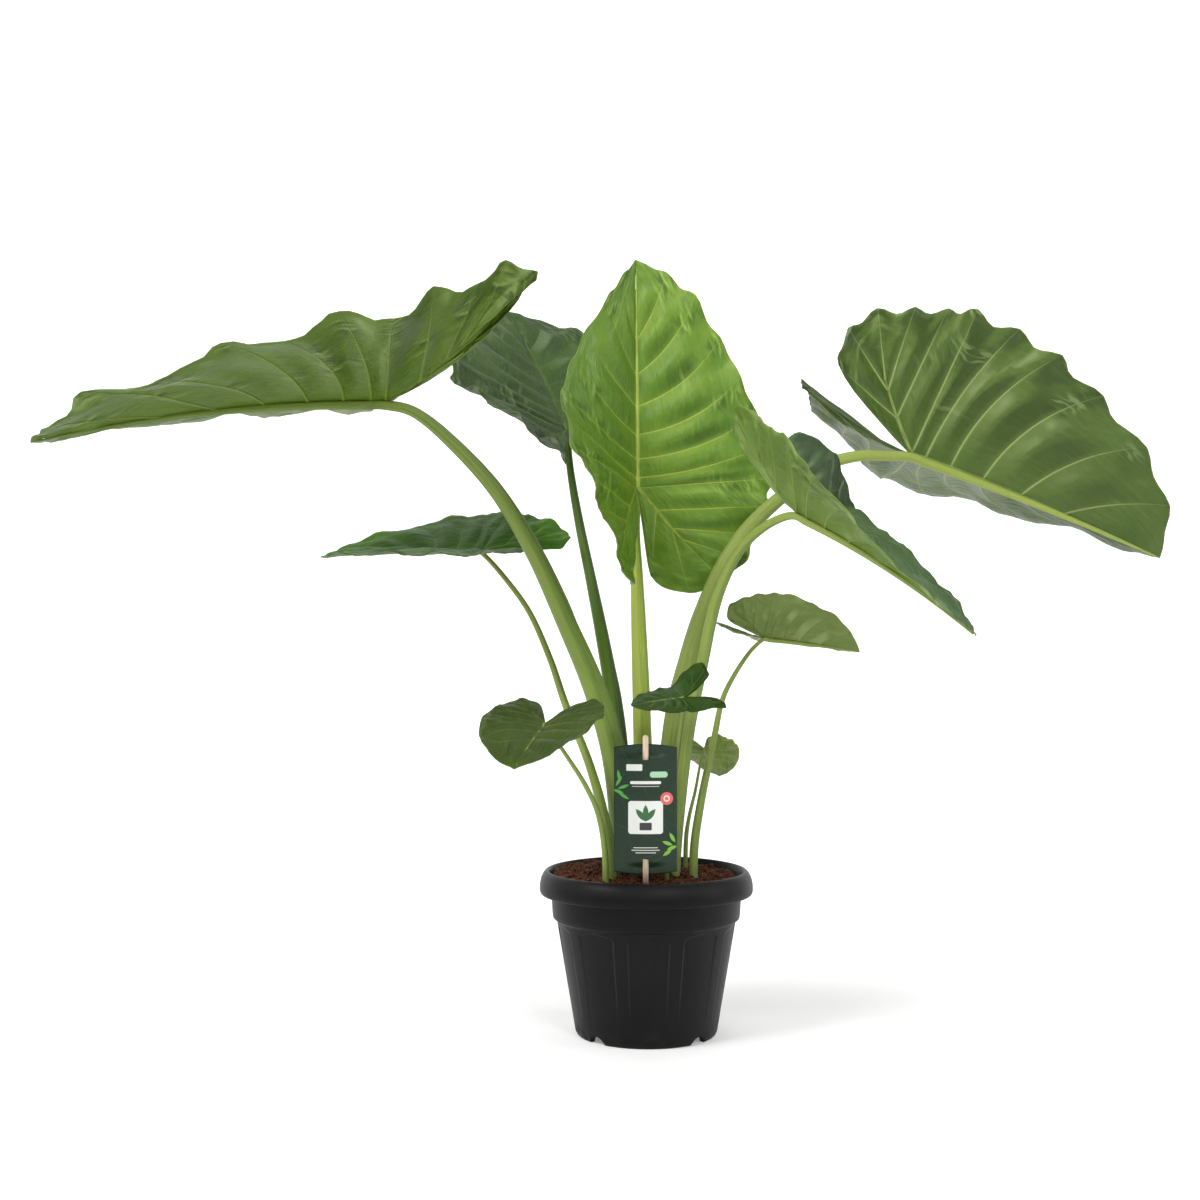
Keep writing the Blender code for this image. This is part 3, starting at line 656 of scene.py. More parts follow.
# The margin round a half: degrees from the tip about the leaf's joint, and leaf lengths
MARGIN = (
    (0, 1.0), (9, 0.93), (19, 0.85), (31, 0.75), (45, 0.655), (59, 0.595), (73, 0.56), (87, 0.545),
    (100, 0.525), (113, 0.52), (126, 0.53), (138, 0.53), (149, 0.485), (158, 0.37), (158, 0.0),
)


def turn(frame, axis, angle):
    """A frame of (ahead, left, up) turned about one of its own directions, by degrees."""
    rotation = Matrix.Rotation(radians(angle), 3, frame[axis])
    return tuple(rotation @ direction for direction in frame)


class Leaf:
    """The curved surface of one leaf."""

    def __init__(self, sizes):
        for size, value in {**PLAIN_LEAF, **sizes}.items():
            setattr(self, size, value)
        self.joint = Vector(self.joint)
        self.last_midrib_vein = self.veins // 2
        heading = radians(self.heading)
        pitch = radians(self.pitch)
        ahead = Vector((
            cos(heading) * cos(pitch),
            sin(heading) * cos(pitch),
            sin(pitch),
        ))
        left = Vector((-sin(heading), cos(heading), 0))
        self.frame = turn((ahead, left, ahead.cross(left)), 0, self.roll)
        self.front = self.line(1, 1, self.droop)
        self.back = [self.line(-1, BACK_REACH, lift) for lift in self.lift]

    def line(self, way, reach, bend):
        """Centre line from the joint, as places with frames: bent evenly ahead, early behind."""
        place, frame = self.joint.copy(), self.frame
        line = [(place.copy(), frame)]
        step = way * reach * self.length / MIDRIB_STEPS
        for k in range(MIDRIB_STEPS):
            early = 1 if way > 0 else 3 * (1 - (k + 0.5) / MIDRIB_STEPS) ** 2
            frame = turn(frame, 1, bend * early / MIDRIB_STEPS)
            place = place + frame[0] * step
            line.append((place.copy(), frame))
        return line

    def flat(self, half, vein, out):
        """Place in the flat leaf, in lengths: across the midrib, and along it from the joint."""
        position = vein * (len(MARGIN) - 1) / self.veins
        angle, reach = smooth(MARGIN, position)
        angle = radians(angle + self.close * max(0, min(1, (position - 10) / 3)) ** 2)
        ends = min(1, vein / 2, (self.veins - vein) / 2)
        reach *= 1 + self.scallop * (cos(2 * pi * vein) - 1) * ends
        reach += self.blunt * sin(pi * min(1, position / BLUNT_REACH))
        across = reach * sin(angle) * self.width[half]
        along = reach * cos(angle)
        across *= 1 - self.narrow[half] * max(0, along)
        along *= self.lobe[half] if along < 0 else 1
        last = self.last_midrib_vein
        if vein <= last:
            root = Vector((0, MIDRIB_VEINED * (1 - vein / last) ** 1.5))
            bow = VEIN_BOW * sin(pi * vein / last)
        else:
            lobe_angle = radians(LOBE_RIB_ANGLE + self.close * 0.4)
            reach = LOBE_RIB * sin(pi * (vein - last) / (self.veins - last))
            root = Vector((
                reach * sin(lobe_angle) * self.width[half],
                reach * cos(lobe_angle) * self.lobe[half],
            ))
            bow = 0
        chord = Vector((across, along)) - root
        bulge = bow * 4 * out * (1 - out)
        return root + chord * out + Vector((chord.y, -chord.x)) * bulge

    def surface(self, half, vein, out):
        """Place on the upper face and the way it faces, from the vein's root at 0 to the margin at 1."""
        across, along = self.flat(half, vein, out)
        line, part = (self.front, along) if along >= 0 else (self.back[half], -along / BACK_REACH)
        part = min(max(part, 0), 1) * MIDRIB_STEPS
        at = min(int(part), MIDRIB_STEPS - 1)
        centre = line[at][0].lerp(line[at + 1][0], part - at)
        frame = [a.lerp(b, part - at).normalized() for a, b in zip(line[at][1], line[at + 1][1])]
        rise = self.fold[half]
        rise += self.fold_tip[half] * max(along, 0) + self.fold_lobe[half] * max(-along, 0) * 2
        rise = radians(rise)
        side = 1 if half == 0 else -1
        ahead, left, up = frame
        outward = side * left * cos(rise) + up * sin(rise)
        normal = up * cos(rise) - side * left * sin(rise)
        edge = min(1, vein / 1.5, (self.veins - vein) / 1.5)
        wave = self.wave[0] * cos(2 * pi * vein)
        wave += self.wave[1 + half] * cos(pi * vein)
        return centre + (outward * across + normal * out**2 * edge * wave) * self.length, normal


# The mesh of a half blade: columns between two veins, and rows from the rib to the margin
COLUMNS = 12
ROWS = 26
UNEVEN_MARGIN = 0.03
PILLOW = 0.15
PUCKER = 0.0085
RIPPLE = 0.006
GROOVE = 0.0006
RIDGE = 0.0013
RIDGE_AT_RIB = 0.0016
RIDGE_TAPER = 0.0011
LARGE_LEAF = 0.35
# The side from which the painted light on the blades comes
LIT_FROM = Vector((-0.60, -0.40, 0.70))


def vein_half_width(length, out):
    """Half the width of a side vein's ridge, tapering from the rib to the margin."""
    return (RIDGE_AT_RIB - RIDGE_TAPER * out) * (0.45 + 0.55 * length / LARGE_LEAF)


def vein_position(column, out, spacing, ridge):
    """Where a column of the mesh runs between two veins: close together beside each of them."""
    near = min(max(ridge / max(spacing, 0.0001), 0.012), 0.10)
    marks = (0, near * 0.5, near, near * 1.7)
    step = column % COLUMNS
    whole = column // COLUMNS
    if step < 4:
        return whole + marks[step]
    if step > COLUMNS - 4:
        return whole + 1 - marks[COLUMNS - step]
    return whole + near * 1.7 + (1 - near * 3.4) * (step - 3) / (COLUMNS - 6)


def blade_shape(leaf, seed, shades):
    """The blade's upper face, with what its finish needs to know of each place on it."""
    bm = bmesh.new()
    layers = {
        name: bm.verts.layers.float.new(name)
        for name in ("from_vein", "from_rib", "from_edge", "along_margin", "flank", "shade")
    }
    faces_up = {}
    weights = bm.verts.layers.deform.verify()
    veins = leaf.veins
    stop = veins * COLUMNS
    for half in (0, 1):
        gaps = []
        for row in range(ROWS + 1):
            out = row / ROWS
            ends = [leaf.surface(half, k, out)[0] for k in range(veins + 1)]
            gaps.append([(b - a).length for a, b in zip(ends, ends[1:])])
        made = bmesh.ops.create_grid(bm, x_segments=stop, y_segments=ROWS, size=1)
        for vert in made["verts"]:
            column = round((vert.co.x + 1) / 2 * stop)
            row = round((vert.co.y + 1) / 2 * ROWS)
            share = row / ROWS
            out = 0.35 * share + 0.65 * share**2 if share < 1 else 1.0
            spacing = gaps[round(out * ROWS)][min(column // COLUMNS, veins - 1)]
            ridge = vein_half_width(leaf.length, out)
            vein = vein_position(column, out, spacing if row else 0.0, ridge)
            vein = min(vein, veins)
            sides = min(1, vein, (veins - vein) / 1.5)
            uneven = 1 + UNEVEN_MARGIN * sides * noise.noise(Vector((vein * 1.9 + half * 31, seed, 0.5)))
            place, normal = leaf.surface(half, vein, out * (1 + (uneven - 1) * out))
            chord = (leaf.surface(half, vein, 1)[0] - leaf.surface(half, vein, 0)[0]).length
            part = vein % 1
            near = min(part, 1 - part) * spacing
            arch = sin(pi * part) ** 2 * sin(pi * min(out * 1.15, 1)) * sides
            puckers = noise.noise(Vector((vein * 4.0 + half * 40, out * 8, seed))) * out**2
            puckers += noise.noise(Vector((vein * 2.2 + half * 40, out * 2.4, seed + 9))) * min(1, out * 2)
            ripples = noise.noise(Vector((vein * 1.3 + half * 20, out * 2.2, seed + 5)))
            height = spacing * PILLOW * arch + leaf.length * (PUCKER * puckers + RIPPLE * ripples * out)
            groove = GROOVE * exp(-((near / (ridge * 1.3)) ** 2)) * (1 - out)
            vert.co = place + normal * (height * min(1, out * 8) - groove * sides)
            faces_up[vert] = normal
            ahead = min(max(leaf.flat(half, vein, out)[1], 0.0), 1.0)
            vert[layers["shade"]] = shades[half] + shades[2] * eased(ahead, 0.1, 0.95)
            vert[layers["from_vein"]] = near if vein > 0.5 else near + 0.004
            vert[layers["from_rib"]] = out * chord
            vert[layers["from_edge"]] = (1 - out) * chord
            vert[layers["along_margin"]] = (vein + half * veins) * leaf.length * 0.16
            swell = max(0.0, 1 - (near / ridge) ** 2) ** 0.5 if vein > 0.5 else 0.0
            vert[weights][0] = swell * min(1, sides) * (1 - out) ** 0.6 * min(1, out * 25)
        if half == 0:
            flipped = {face for vert in made["verts"] for face in vert.link_faces}
            bmesh.ops.reverse_faces(bm, faces=list(flipped))
    bm.normal_update()
    # How far each place turns towards the painted light, beyond the lie of the blade itself
    for vert, flat in faces_up.items():
        facing = vert.normal if vert.normal.dot(flat) > 0 else -vert.normal
        vert[layers["flank"]] = (facing - flat * 0.7 - leaf.frame[2] * 0.3).dot(LIT_FROM)
    bmesh.ops.remove_doubles(bm, verts=bm.verts, dist=0.00003)
    bmesh.ops.dissolve_degenerate(bm, edges=bm.edges, dist=0.00003)
    return bm


# How far from a vein, the midrib or the margin its pale line ends, and the glow beside a vein
VEIN_LINE = 0.0008
RIB_LINE = 0.0014
MARGIN_LINE = 0.0014
GLOW_REACH = 0.007


def leaf_green(name, tones, veined, sheen, relief, under):
    """Waxy leaf: pale main veins, softly lighter beside them, a mottle, and painted light and shade
    that draws the slopes of its pillows, its gleams and its crinkles.

    The relief says how strongly the painted light and shade follow the slopes of the pillows.
    """
    dark, light, vein, glow = tones
    made = Finish(name, sheen, 0.2 if sheen > 0.45 else 0.3)
    where = made.place()
    from_vein, from_rib, from_edge, along = (
        made.attribute(layer) for layer in ("from_vein", "from_rib", "from_edge", "along_margin")
    )
    mottle = made.noise(where, 14.0, 3.0)
    fine = made.noise(where, 160.0, 4.0)
    streaks = made.noise(made.vector(along * 3.0, from_rib * 9.0), 14.0, 4.0, 0.6, 0.3)
    made.tone = made.blend(mottle.fade(0.22, 0.78), dark, light)
    made.coat(streaks.fade(0.4, 0.75) * 0.35, glow)
    made.coat(fine.fade(0.35, 0.7) * 0.18, dark)
    shadow = tuple(value * 0.45 for value in dark[:3]) + (1.0,)
    gleam = tuple(value * 1.25 + 0.07 for value in glow[:3]) + (1.0,)
    shade = made.attribute("shade")
    # Painted light and painted shade on the slopes of the pillows, towards or away from LIT_FROM
    flank = made.attribute("flank") * (1.0 - shade * 1.8) * (-relief if under else relief)
    outer = from_rib.fade(0.02, 0.10, 0.45, 0.75)
    made.coat(flank.fade(0.02, 0.40) * outer, glow)
    made.coat(flank.fade(-0.02, -0.40) * outer, shadow)
    # Painted gleams in patches near the margin, on slopes turned to the light
    patches = made.noise(where, 22.0, 2.0).fade(0.42, 0.6)
    made.coat(flank.fade(0.10, 0.34) * patches * from_edge.fade(0.14, 0.05) * 0.6, gleam)
    # Crinkles beside the veins, drawn in painted shade and painted highlights
    crinkled = made.noise(where, 11.0, 1.0).fade(0.48, 0.56)
    crinkled = crinkled * from_vein.fade(0.024, 0.004) * from_rib.fade(0.04, 0.08)
    crinkle = made.noise(made.vector(from_rib, from_vein * 0.3), 140.0, 1.0)
    made.coat(crinkled * crinkle.fade(0.48, 0.38) * 0.75, shadow)
    made.coat(crinkled * crinkle.fade(0.54, 0.62) * 0.55, gleam)
    halo = from_vein.fade(GLOW_REACH, 0.0) * from_edge.fade(0.0, 0.06)
    made.coat(halo * (0.35 * veined), glow)
    reach = from_edge.fade(0.0, 0.07, 0.25, 1.0)
    swollen = from_edge.fade(0.0, 0.12) * 0.0003
    line = (from_vein - swollen).fade(VEIN_LINE, 0.0001) * reach
    rib = (from_rib - from_edge * 0.016).fade(RIB_LINE, 0.0002)
    made.coat((line * veined).most(rib * (0.3 + 0.6 * veined)), vein)
    made.coat(from_edge.fade(MARGIN_LINE, 0.0005) * 0.3, vein)
    made.coat(shade, shadow)
    made.feed("Base Color", made.tone)
    made.feed("Roughness", sheen + fine * 0.12 + streaks * 0.10 - 0.10)
    crimp = made.noise(made.vector(along * 2.2, from_rib), 200.0, 2.0, 0.5)
    crimp = crimp * from_vein.fade(0.012, 0.001) * from_rib.fade(0.02, 0.12)
    way = -1.0 if under else 1.0
    made.relief((streaks * 0.0022 + crimp * 0.0012 + mottle * 0.0030) * way + fine * 0.00010, 1.0)
    return made.material


def greens(dark, light, vein, glow):
    return tuple(colour(*tone) for tone in (dark, light, vein, glow))


MID = greens((53, 83, 25), (76, 105, 34), (139, 157, 72), (96, 124, 44))
DEEP_UNDER = greens((64, 85, 44), (81, 101, 53), (115, 134, 70), (90, 110, 58))
# Each leaf's upper and lower greens, how plainly its veins show above and below, and its kind
GREENS = {
    "leaf_1": (MID, greens((70, 95, 22), (84, 109, 30), (114, 132, 41), (94, 119, 35)), 0.5, 0.6,
               "mid_green_leaf"),
    "leaf_2": (greens((40, 63, 21), (58, 83, 30), (82, 106, 42), (65, 89, 36)), DEEP_UNDER, 0.35, 0.5,
               "dark_green_leaf"),
    "leaf_3": (greens((77, 117, 25), (107, 141, 36), (162, 180, 72), (129, 156, 45)),
               greens((104, 144, 54), (126, 162, 66), (176, 202, 96), (140, 174, 76)), 0.8, 0.6,
               "bright_green_leaf"),
    "leaf_4": (MID, greens((72, 98, 33), (90, 115, 43), (146, 163, 92), (114, 136, 70)), 0.5, 0.95,
               "mid_green_leaf"),
    "leaf_5": (greens((60, 84, 50), (79, 102, 62), (106, 129, 80), (88, 111, 68)),
               greens((86, 113, 41), (103, 129, 52), (129, 147, 66), (112, 136, 59)), 0.35, 0.5,
               "mid_green_leaf"),
    "leaf_6": (greens((54, 91, 16), (77, 124, 22), (123, 165, 41), (91, 139, 28)), DEEP_UNDER, 0.35, 0.5,
               "dark_green_leaf"),
    "leaf_7": (greens((46, 65, 16), (67, 86, 24), (97, 107, 41), (78, 95, 30)), DEEP_UNDER, 0.15, 0.5,
               "dark_green_leaf"),
    "leaf_8": (MID, greens((96, 116, 50), (112, 131, 63), (81, 105, 43), (122, 140, 73)), 0.6, 0.6,
               "mid_green_leaf"),
    # Leaf 9's lower greens are almost black: painted shade, as its curled lobe lies in shade
    "leaf_9": (greens((29, 54, 6), (46, 77, 13), (80, 105, 22), (55, 86, 14)),
               greens((16, 30, 16), (26, 44, 24), (40, 60, 34), (30, 48, 26)), 0.3, 0.3,
               "dark_green_leaf"),
    "leaf_10": (MID, greens((103, 126, 49), (126, 146, 60), (163, 172, 85), (138, 157, 68)), 0.3, 0.3,
                "mid_green_leaf"),
}
# How far the left half, the right half and the tip of a blade lie in shade
SHADES = {"leaf_3": (0.36, 0.0, 0.0), "leaf_4": (0.44, 0.0, 0.37)}
# How strongly each blade's painted light and shade follow its pillows where that isn't 1. Leaf 4's
# light and dark flanks are painted against the slope of its mesh
PAINTED_RELIEF = {"leaf_1": 1.2, "leaf_3": 0.8, "leaf_4": -1.8, "leaf_7": 0.5, "leaf_8": 0.7, "leaf_10": 0.5}
surfaces = {}
for number, (name, sizes) in enumerate(LEAVES.items()):
    leaf = Leaf(sizes)
    surfaces[name] = leaf
    upper, under, veined, veined_under, slot = GREENS[name]
    sheen = 0.50 if slot == "dark_green_leaf" else 0.42
    sheet = finished(
        name + "_waved_blade",
        blade_shape(leaf, number + 1.0, SHADES.get(name, (0.0, 0.0, 0.0))),
        leaf_green(name + "_upper_green", upper, veined, sheen, PAINTED_RELIEF.get(name, 1.0), False),
        leaf_green(name + "_under_green", under, veined_under, sheen, PAINTED_RELIEF.get(name, 1.0), True),
    )
    summed = sum((p.normal * p.area for p in sheet.data.polygons), Vector())
    if summed.dot(leaf.frame[2]) < 0:
        sheet.data.flip_normals()
    sheet.vertex_groups.new(name="ridges")
    ridge = BLADE_THICKNESS + RIDGE * (0.4 + 0.6 * leaf.length / LARGE_LEAF)
    thicken = sheet.modifiers.new("thickness", "SOLIDIFY")
    thicken.thickness = ridge
    thicken.offset = -1
    thicken.vertex_group = "ridges"
    thicken.thickness_vertex_group = BLADE_THICKNESS / ridge
    thicken.material_offset = 1
    thicken.material_offset_rim = 1
    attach(sheet, "root")
    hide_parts(name + "_blade")

# The stalks: fleshy and round, each running on under its blade as the midrib. Low down it opens
# into a sheath, a groove with two thin edges that faces the middle of the plant.
STALK_SIDES = 28
STATIONS = 9
LIP_AT = 0.62
MIDRIB_MARKS = (0.06, 0.14, 0.24, 0.36, 0.5, 0.64, 0.78, 0.9, 0.985)
MIDRIB_TIP = 0.0007
BLADE_GAP = 0.0004
# The side from which the painted light on the stalks comes
LIT_LEFT = Vector((-0.80, -0.50, 0.20))
# How far up its stalk each sheath ends, where 1 is just below the blade
SHEATHED = {"leaf_1": 0.52, "leaf_2": 0.5, "leaf_3": 0.5, "leaf_4": 0.55, "leaf_5": 0.4, "leaf_6": 0.4}


def stalk_shape(name, leaf):
    """The stalk from below the soil to its leaf's tip, STATIONS rings to each point of its way."""
    way = leaf.stalk
    foot = way[-1]
    top_radius = way[0][3] * 0.92
    guides = [Vector((foot[0], foot[1], STALK_BOTTOM, foot[3])), *(Vector(p) for p in reversed(way))]
    joint = leaf.joint - leaf.frame[2] * (top_radius * 0.85 + BLADE_GAP)
    guides.append(Vector((*joint, top_radius)))
    for along in MIDRIB_MARKS:
        at = along * MIDRIB_STEPS
        first = min(int(at), MIDRIB_STEPS - 1)
        centre = leaf.front[first][0].lerp(leaf.front[first + 1][0], at - first)
        radius = top_radius * (1 - along) ** 0.75 * 0.9 + MIDRIB_TIP
        sunk = centre - leaf.front[first][1][2] * (radius * (0.85 - 0.25 * along) + BLADE_GAP)
        guides.append(Vector((*sunk, radius)))
    stations = [smooth(guides, k / STATIONS) for k in range((len(guides) - 1) * STATIONS + 1)]
    bm = bmesh.new()
    around, run, aloft, lit = (
        bm.verts.layers.float.new(layer) for layer in ("around", "run", "aloft", "lit")
    )
    ring = bmesh.ops.create_circle(bm, cap_ends=False, segments=STALK_SIDES, radius=1)["verts"]
    order = {vert: k for k, vert in enumerate(ring)}
    edges = list(bm.edges)
    across = Vector((-foot[0] * 0.6 - way[0][0] * 0.4, -foot[1] - 0.02, 0))
    travelled = 0.0
    for k, station in enumerate(stations):
        centre = Vector(station[:3])
        after = Vector(stations[min(k + 1, len(stations) - 1)][:3])
        behind = Vector(stations[max(k - 1, 0)][:3])
        tangent = (after - behind).normalized()
        travelled += (centre - behind).length if k else 0.0
        across = (across - tangent * across.dot(tangent)).normalized()
        other = tangent.cross(across)
        share = k / STATIONS / len(way)
        opened = 0.0
        if name in SHEATHED:
            opened = 1 - eased(share, SHEATHED[name] - 0.07, SHEATHED[name] + 0.01)
        if k:
            grown = bmesh.ops.extrude_edge_only(bm, edges=edges)
            fresh = [item for item in grown["geom"] if isinstance(item, bmesh.types.BMVert)]
            edges = [
                item for item in grown["geom"]
                if isinstance(item, bmesh.types.BMEdge) and all(v in fresh for v in item.verts)
            ]
            matched = {}
            for vert in fresh:
                for edge in vert.link_edges:
                    far = edge.other_vert(vert)
                    if far in order:
                        matched[vert] = order[far]
            order = matched
        for vert, step in order.items():
            angle = 2 * pi * step / STALK_SIDES
            turned = (angle + pi) % (2 * pi) - pi
            lips = exp(-(((abs(turned) - LIP_AT) / 0.20) ** 2))
            groove = exp(-((turned / 0.36) ** 2))
            flutes = 0.012 * cos(7 * angle) + 0.008 * cos(11 * angle + 1)
            size = station[3] * (1 + flutes + opened * (0.10 * lips - 0.26 * groove))
            vert.co = centre + (across * cos(angle) + other * sin(angle)) * size
            vert[around] = turned
            vert[run] = travelled
            vert[aloft] = share
    # A cap on the tip, and then one on the foot
    for end in (order, None):
        rim = list(order) if end else [v for v in bm.verts if v.is_boundary and v not in order]
        rim_edges = {e for v in rim for e in v.link_edges if e.is_boundary}
        bmesh.ops.edgeloop_fill(bm, edges=list(rim_edges))
    bmesh.ops.recalc_face_normals(bm, faces=bm.faces)
    bm.normal_update()
    # How far each place faces the painted light on the stalks
    for vert in bm.verts:
        vert[lit] = vert.normal.dot(LIT_LEFT)
    return bm


def stalk_green(name, low, high, pale, deep):
    """Fleshy green stalk: lengthwise streaks, painted light and shade in broad bands, and a paler foot."""
    made = Finish(name, 0.42, 0.4)
    where = made.place()
    around, run, aloft = (made.attribute(layer) for layer in ("around", "run", "aloft"))
    streaks = made.noise(made.vector(around * 2.6, run * 5.0), 3.2, 4.0)
    fine = made.noise(made.vector(around * 9.0, run * 14.0), 5.0, 3.0)
    specks = made.noise(where, 600.0, 2.0)
    made.tone = made.blend(aloft.fade(0.1, 0.95), low, high)
    # Painted light and painted shade: lighter on the side turned to LIT_LEFT, darker on the other, in
    # bands
    bands = made.noise(made.vector(around * 1.3, run * 1.5), 1.6, 1.0)
    lit = made.attribute("lit") + (streaks - 0.5) * 0.5 + (bands - 0.5) * 1.4
    made.coat(streaks.fade(0.40, 0.62) * 0.45, pale)
    made.coat(fine.fade(0.45, 0.7) * 0.35, deep)
    made.coat(lit.fade(0.25, 0.75) * 0.75, pale)
    made.coat(lit.fade(0.25, -0.55) * 0.85, deep)
    made.coat(aloft.fade(0.16, 0.02) * 0.5, colour(172, 190, 112))
    made.feed("Base Color", made.tone)
    made.feed("Roughness", 0.38 + fine * 0.14)
    made.relief(streaks * 0.0004 + fine * 0.00022 + specks * 0.00004, 1.0)
    return made.material


MID_STALK = greens((91, 117, 41), (99, 121, 35), (126, 146, 60), (57, 81, 25))
DEEP_STALK = greens((63, 95, 11), (53, 84, 8), (86, 118, 20), (37, 61, 6))
YELLOW_STALK = greens((136, 164, 62), (155, 175, 60), (192, 204, 93), (111, 139, 47))
RIGHT_STALK = greens((103, 130, 57), (150, 166, 62), (149, 166, 82), (66, 90, 36))
THIN_STALK = greens((111, 136, 53), (117, 137, 50), (148, 165, 79), (76, 100, 40))
STALKS = {"leaf_1": MID_STALK, "leaf_2": DEEP_STALK, "leaf_3": YELLOW_STALK, "leaf_4": RIGHT_STALK}
for name, leaf in surfaces.items():
    rod = finished(
        name + "_fleshy_stalk",
        stalk_shape(name, leaf),
        stalk_green(name + "_stalk_green", *STALKS.get(name, THIN_STALK)),
    )
    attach(rod, "root")
    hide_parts(name + "_stalk")
    "pale_green_stalk" if name == "leaf_3" else "green_stalk"

# The plant label: a thin card with bowed ends, printed dark green, woven over a flat wooden stick
# through two slots. Its print is a plain design of panels, lines and small leaf sprigs.
CARD_CENTRE = (-0.003, -0.086, 0.2565)
CARD_WIDTH = 0.067
CARD_HEIGHT = 0.132
CARD_ARC = 0.0035
CARD_THICKNESS = 0.0008
CARD_WEAVE = 0.0019
SLOT_HALF_WIDTH = 0.0038
SLOT_HEIGHT = 0.006
SLOT_FROM_EDGE = 0.0105
SLOT_MIDDLE = CARD_HEIGHT / 2 - SLOT_FROM_EDGE
CARD_GIVE = 0.016
CARD_CURL = 0.0025
CARD_COLUMNS = 44
CARD_ROWS = 90
PRINT_BLUR = 0.0001


def card_bend(x, level):
    """How far the card stands behind its middle: curled back at its sides, out at the slots."""
    weave = max(-1.0, min(1.0, (abs(level) - SLOT_MIDDLE) / (SLOT_HEIGHT / 2)))
    beside = max(0, abs(x) - SLOT_HALF_WIDTH)
    give = exp(-((beside / CARD_GIVE) ** 2))
    return weave * CARD_WEAVE * give + CARD_CURL * (x / (CARD_WIDTH / 2)) ** 2


card = bmesh.new()
made = bmesh.ops.create_grid(card, x_segments=CARD_COLUMNS, y_segments=CARD_ROWS, size=1)
for vert in made["verts"]:
    x = vert.co.x * CARD_WIDTH / 2
    level = vert.co.y * CARD_HEIGHT / 2
    vert.co = (x, card_bend(x, level), level + CARD_ARC * (1 - (2 * x / CARD_WIDTH) ** 2) * vert.co.y)
slots = [
    face for face in card.faces
    if abs(face.calc_center_median().x) < SLOT_HALF_WIDTH
    and abs(abs(face.calc_center_median().z) - SLOT_MIDDLE) < SLOT_HEIGHT / 2
]
bmesh.ops.delete(card, geom=slots, context="FACES")
bmesh.ops.translate(card, verts=card.verts, vec=CARD_CENTRE)
bmesh.ops.recalc_face_normals(card, faces=card.faces)

printed = Finish("printed_card", 0.42, 0.45)
where = printed.place()
x, _, z = printed.axes(where)
card_x = x - CARD_CENTRE[0]
card_z = z - CARD_CENTRE[2]


def slab(middle_x, middle_z, half_width, half_height, corner):
    """1 inside a rounded rectangle of the print."""
    over_x = (abs(card_x - middle_x) - (half_width - corner)).most(0.0)
    over_z = (abs(card_z - middle_z) - (half_height - corner)).most(0.0)
    return ((over_x**2.0 + over_z**2.0) ** 0.5).fade(corner + PRINT_BLUR, corner - PRINT_BLUR)


def disc(middle_x, middle_z, radius):
    away = ((card_x - middle_x) ** 2.0 + (card_z - middle_z) ** 2.0) ** 0.5
    return away.fade(radius + PRINT_BLUR, radius - PRINT_BLUR)


def petal(middle_x, middle_z, angle, half_length, half_width):
    """1 inside one leaflet of a sprig, pointed at both ends, and turned by an angle in degrees."""
    turned = radians(angle)
    right = card_x - middle_x
    above = card_z - middle_z
    along = right * cos(turned) + above * sin(turned)
    across = above * cos(turned) - right * sin(turned)
    full = (1 - (along / half_length) ** 2.0).most(0.0) * half_width
    return (abs(across) - full).fade(PRINT_BLUR, -PRINT_BLUR)


def sprig(leaflets, half_length, half_width):
    """1 inside any of the leaflets, each given by its middle and the way it points."""
    inside, *others = (petal(*leaflet, half_length, half_width) for leaflet in leaflets)
    for other in others:
        inside = inside.most(other)
    return inside


weave = printed.noise(where, 700.0, 2.0)
printed.tone = printed.blend(weave.fade(0.3, 0.7), colour(12, 41, 20), colour(16, 48, 23))
upper_left = (
    (-0.0285, 0.030, 60), (-0.0235, 0.024, 20), (-0.0290, 0.019, -20), (-0.0230, 0.014, -30),
    (-0.0285, 0.036, 100),
)
lower_right = ((0.0285, -0.030, 120), (0.0232, -0.036, 160), (0.0280, -0.041, 200), (0.0232, -0.046, 215))
printed.coat(sprig(upper_left, 0.0062, 0.0016), colour(84, 166, 70))
printed.coat(sprig(lower_right, 0.0058, 0.0019), colour(126, 188, 62))
printed.coat(slab(0.0, -0.0085, 0.0185, 0.0175, 0.003), colour(240, 242, 236))
for leaflet in ((-0.0050, -0.006, 130), (0.0050, -0.006, 50), (0.0, -0.0035, 90)):
    printed.coat(petal(*leaflet, 0.0085, 0.0030), colour(58, 110, 66))
printed.coat(slab(0.0, -0.0180, 0.0065, 0.0040, 0.001), colour(58, 62, 60))
printed.coat(slab(-0.012, 0.0445, 0.0085, 0.0035, 0.0012), colour(236, 240, 232))
printed.coat(slab(0.014, 0.0370, 0.0095, 0.0032, 0.0030), colour(170, 214, 176))
for radius, ink in ((0.0068, (226, 104, 100)), (0.0034, (240, 226, 220)), (0.0020, (226, 104, 100))):
    printed.coat(disc(0.0225, 0.0115, radius), colour(*ink))
for middle_z, half_width, half_height, light in (
    (0.0285, 0.0165, 0.0016, 238), (0.0245, 0.0145, 0.0004, 200),
    (-0.0405, 0.0130, 0.0005, 214), (-0.0432, 0.0150, 0.0005, 214), (-0.0459, 0.0110, 0.0005, 214),
):
    bar = slab(0.0, middle_z, half_width, half_height, half_height * 0.9)
    printed.coat(bar, colour(light, light, light - 4))
printed.feed("Base Color", printed.tone)
printed.feed("Roughness", 0.40 + weave * 0.08)
printed.relief(weave, 0.00002)
plate = finished("plant_label", card, printed.material)
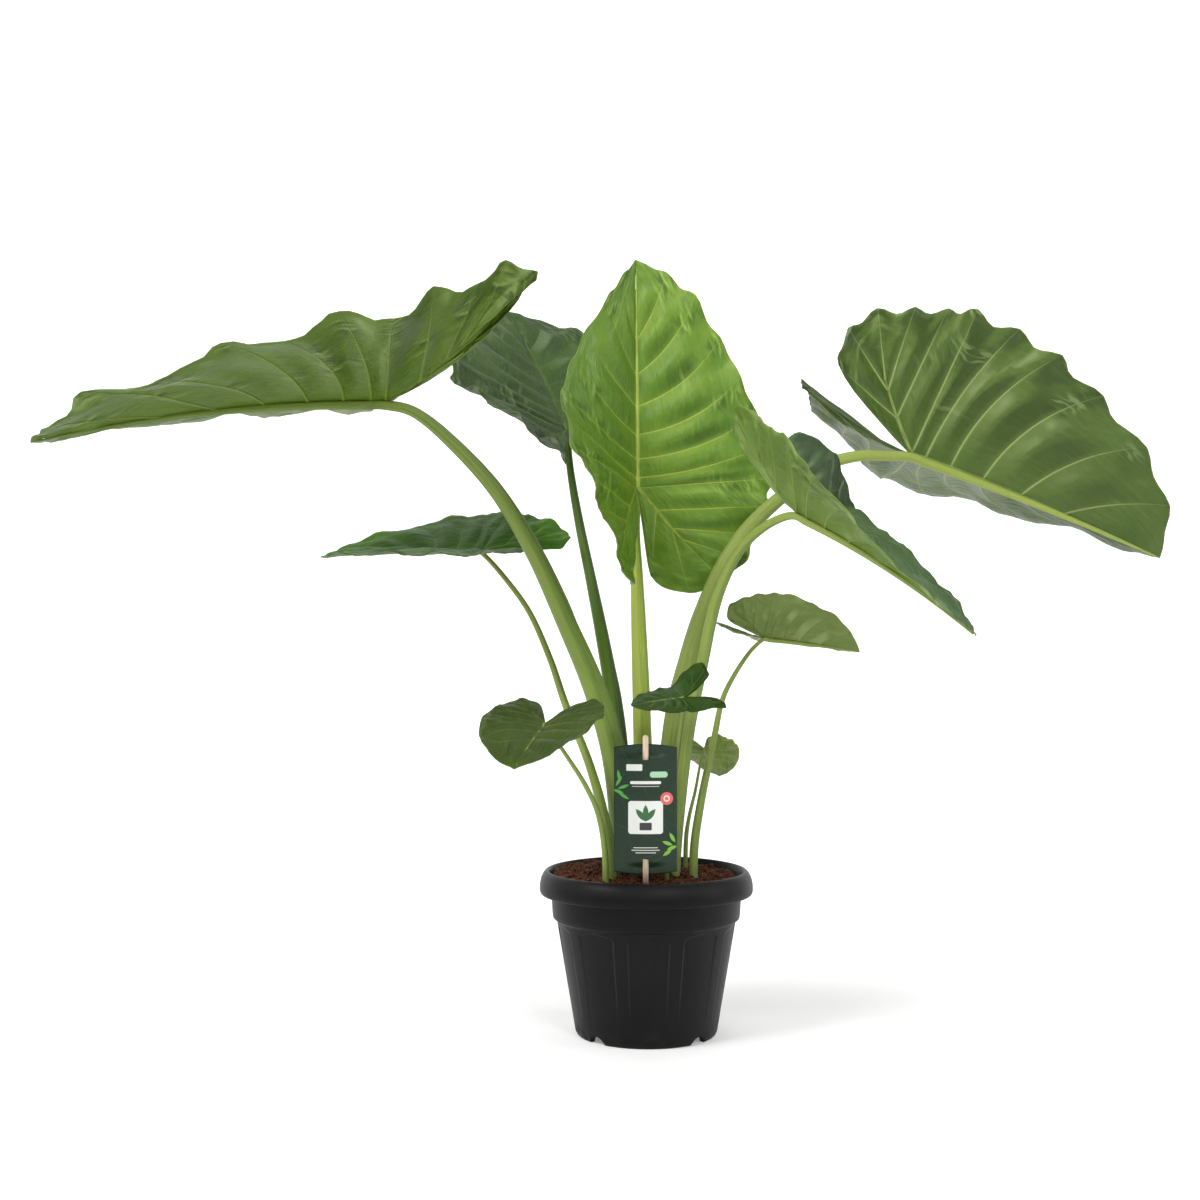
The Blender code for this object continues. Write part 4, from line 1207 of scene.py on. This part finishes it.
thicken = plate.modifiers.new("thickness", "SOLIDIFY")
thicken.thickness = CARD_THICKNESS
thicken.offset = 0
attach(plate, "root")
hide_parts("label_card")

# The stick: a flat strip of pale wood with a rounded top and eased edges, passed through the
# card's two slots and pushed into the soil.
STICK_WIDTH = 0.006
STICK_THICKNESS = 0.002
STICK_TOP = 0.3355
STICK_EDGE = 0.00025

stick = bmesh.new()
bmesh.ops.create_cube(
    stick, size=1,
    matrix=Matrix.Translation((CARD_CENTRE[0], CARD_CENTRE[1], (STALK_BOTTOM + STICK_TOP) / 2))
    @ Matrix.Diagonal((STICK_WIDTH, STICK_THICKNESS, STICK_TOP - STALK_BOTTOM, 1)),
)
top_edges = [
    e for e in stick.edges
    if all(v.co.z > STICK_TOP - 0.001 for v in e.verts)
    and abs(e.verts[0].co.x - e.verts[1].co.x) < 0.0001
]
bmesh.ops.bevel(
    stick, geom=top_edges, offset=STICK_WIDTH / 2 * 0.98, offset_type="OFFSET", segments=10, profile=0.5,
    affect="EDGES", material=-1,
)
sharp = [e for e in stick.edges if e.calc_face_angle(0.0) > 0.8]
bmesh.ops.bevel(
    stick, geom=sharp, offset=STICK_EDGE, offset_type="OFFSET", segments=2, profile=0.5,
    affect="EDGES", material=-1,
)
wood = Finish("pale_wood", 0.6)
where = wood.place()
rings = wood.noise(wood.stretched(where, (1.0, 1.0, 0.06)), 900.0, 4.0)
specks = wood.noise(wood.stretched(where, (1.0, 1.0, 0.2)), 2600.0, 2.0)
wood.tone = wood.blend(rings.fade(0.35, 0.65), colour(206, 178, 150), colour(232, 212, 188))
wood.coat(specks.fade(0.62, 0.8) * 0.5, colour(176, 142, 110))
damp = wood.axes(where)[2].fade(0.195, 0.178)
wood.coat(damp * 0.6, colour(120, 84, 58))
wood.feed("Base Color", wood.tone)
wood.relief(rings * 0.00012 + specks * 0.00006, 1.0)
strip = finished("label_strip", stick, wood.material)
strip.data.set_sharp_from_angle(angle=radians(30))
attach(strip, "root")
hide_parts("label_stick")
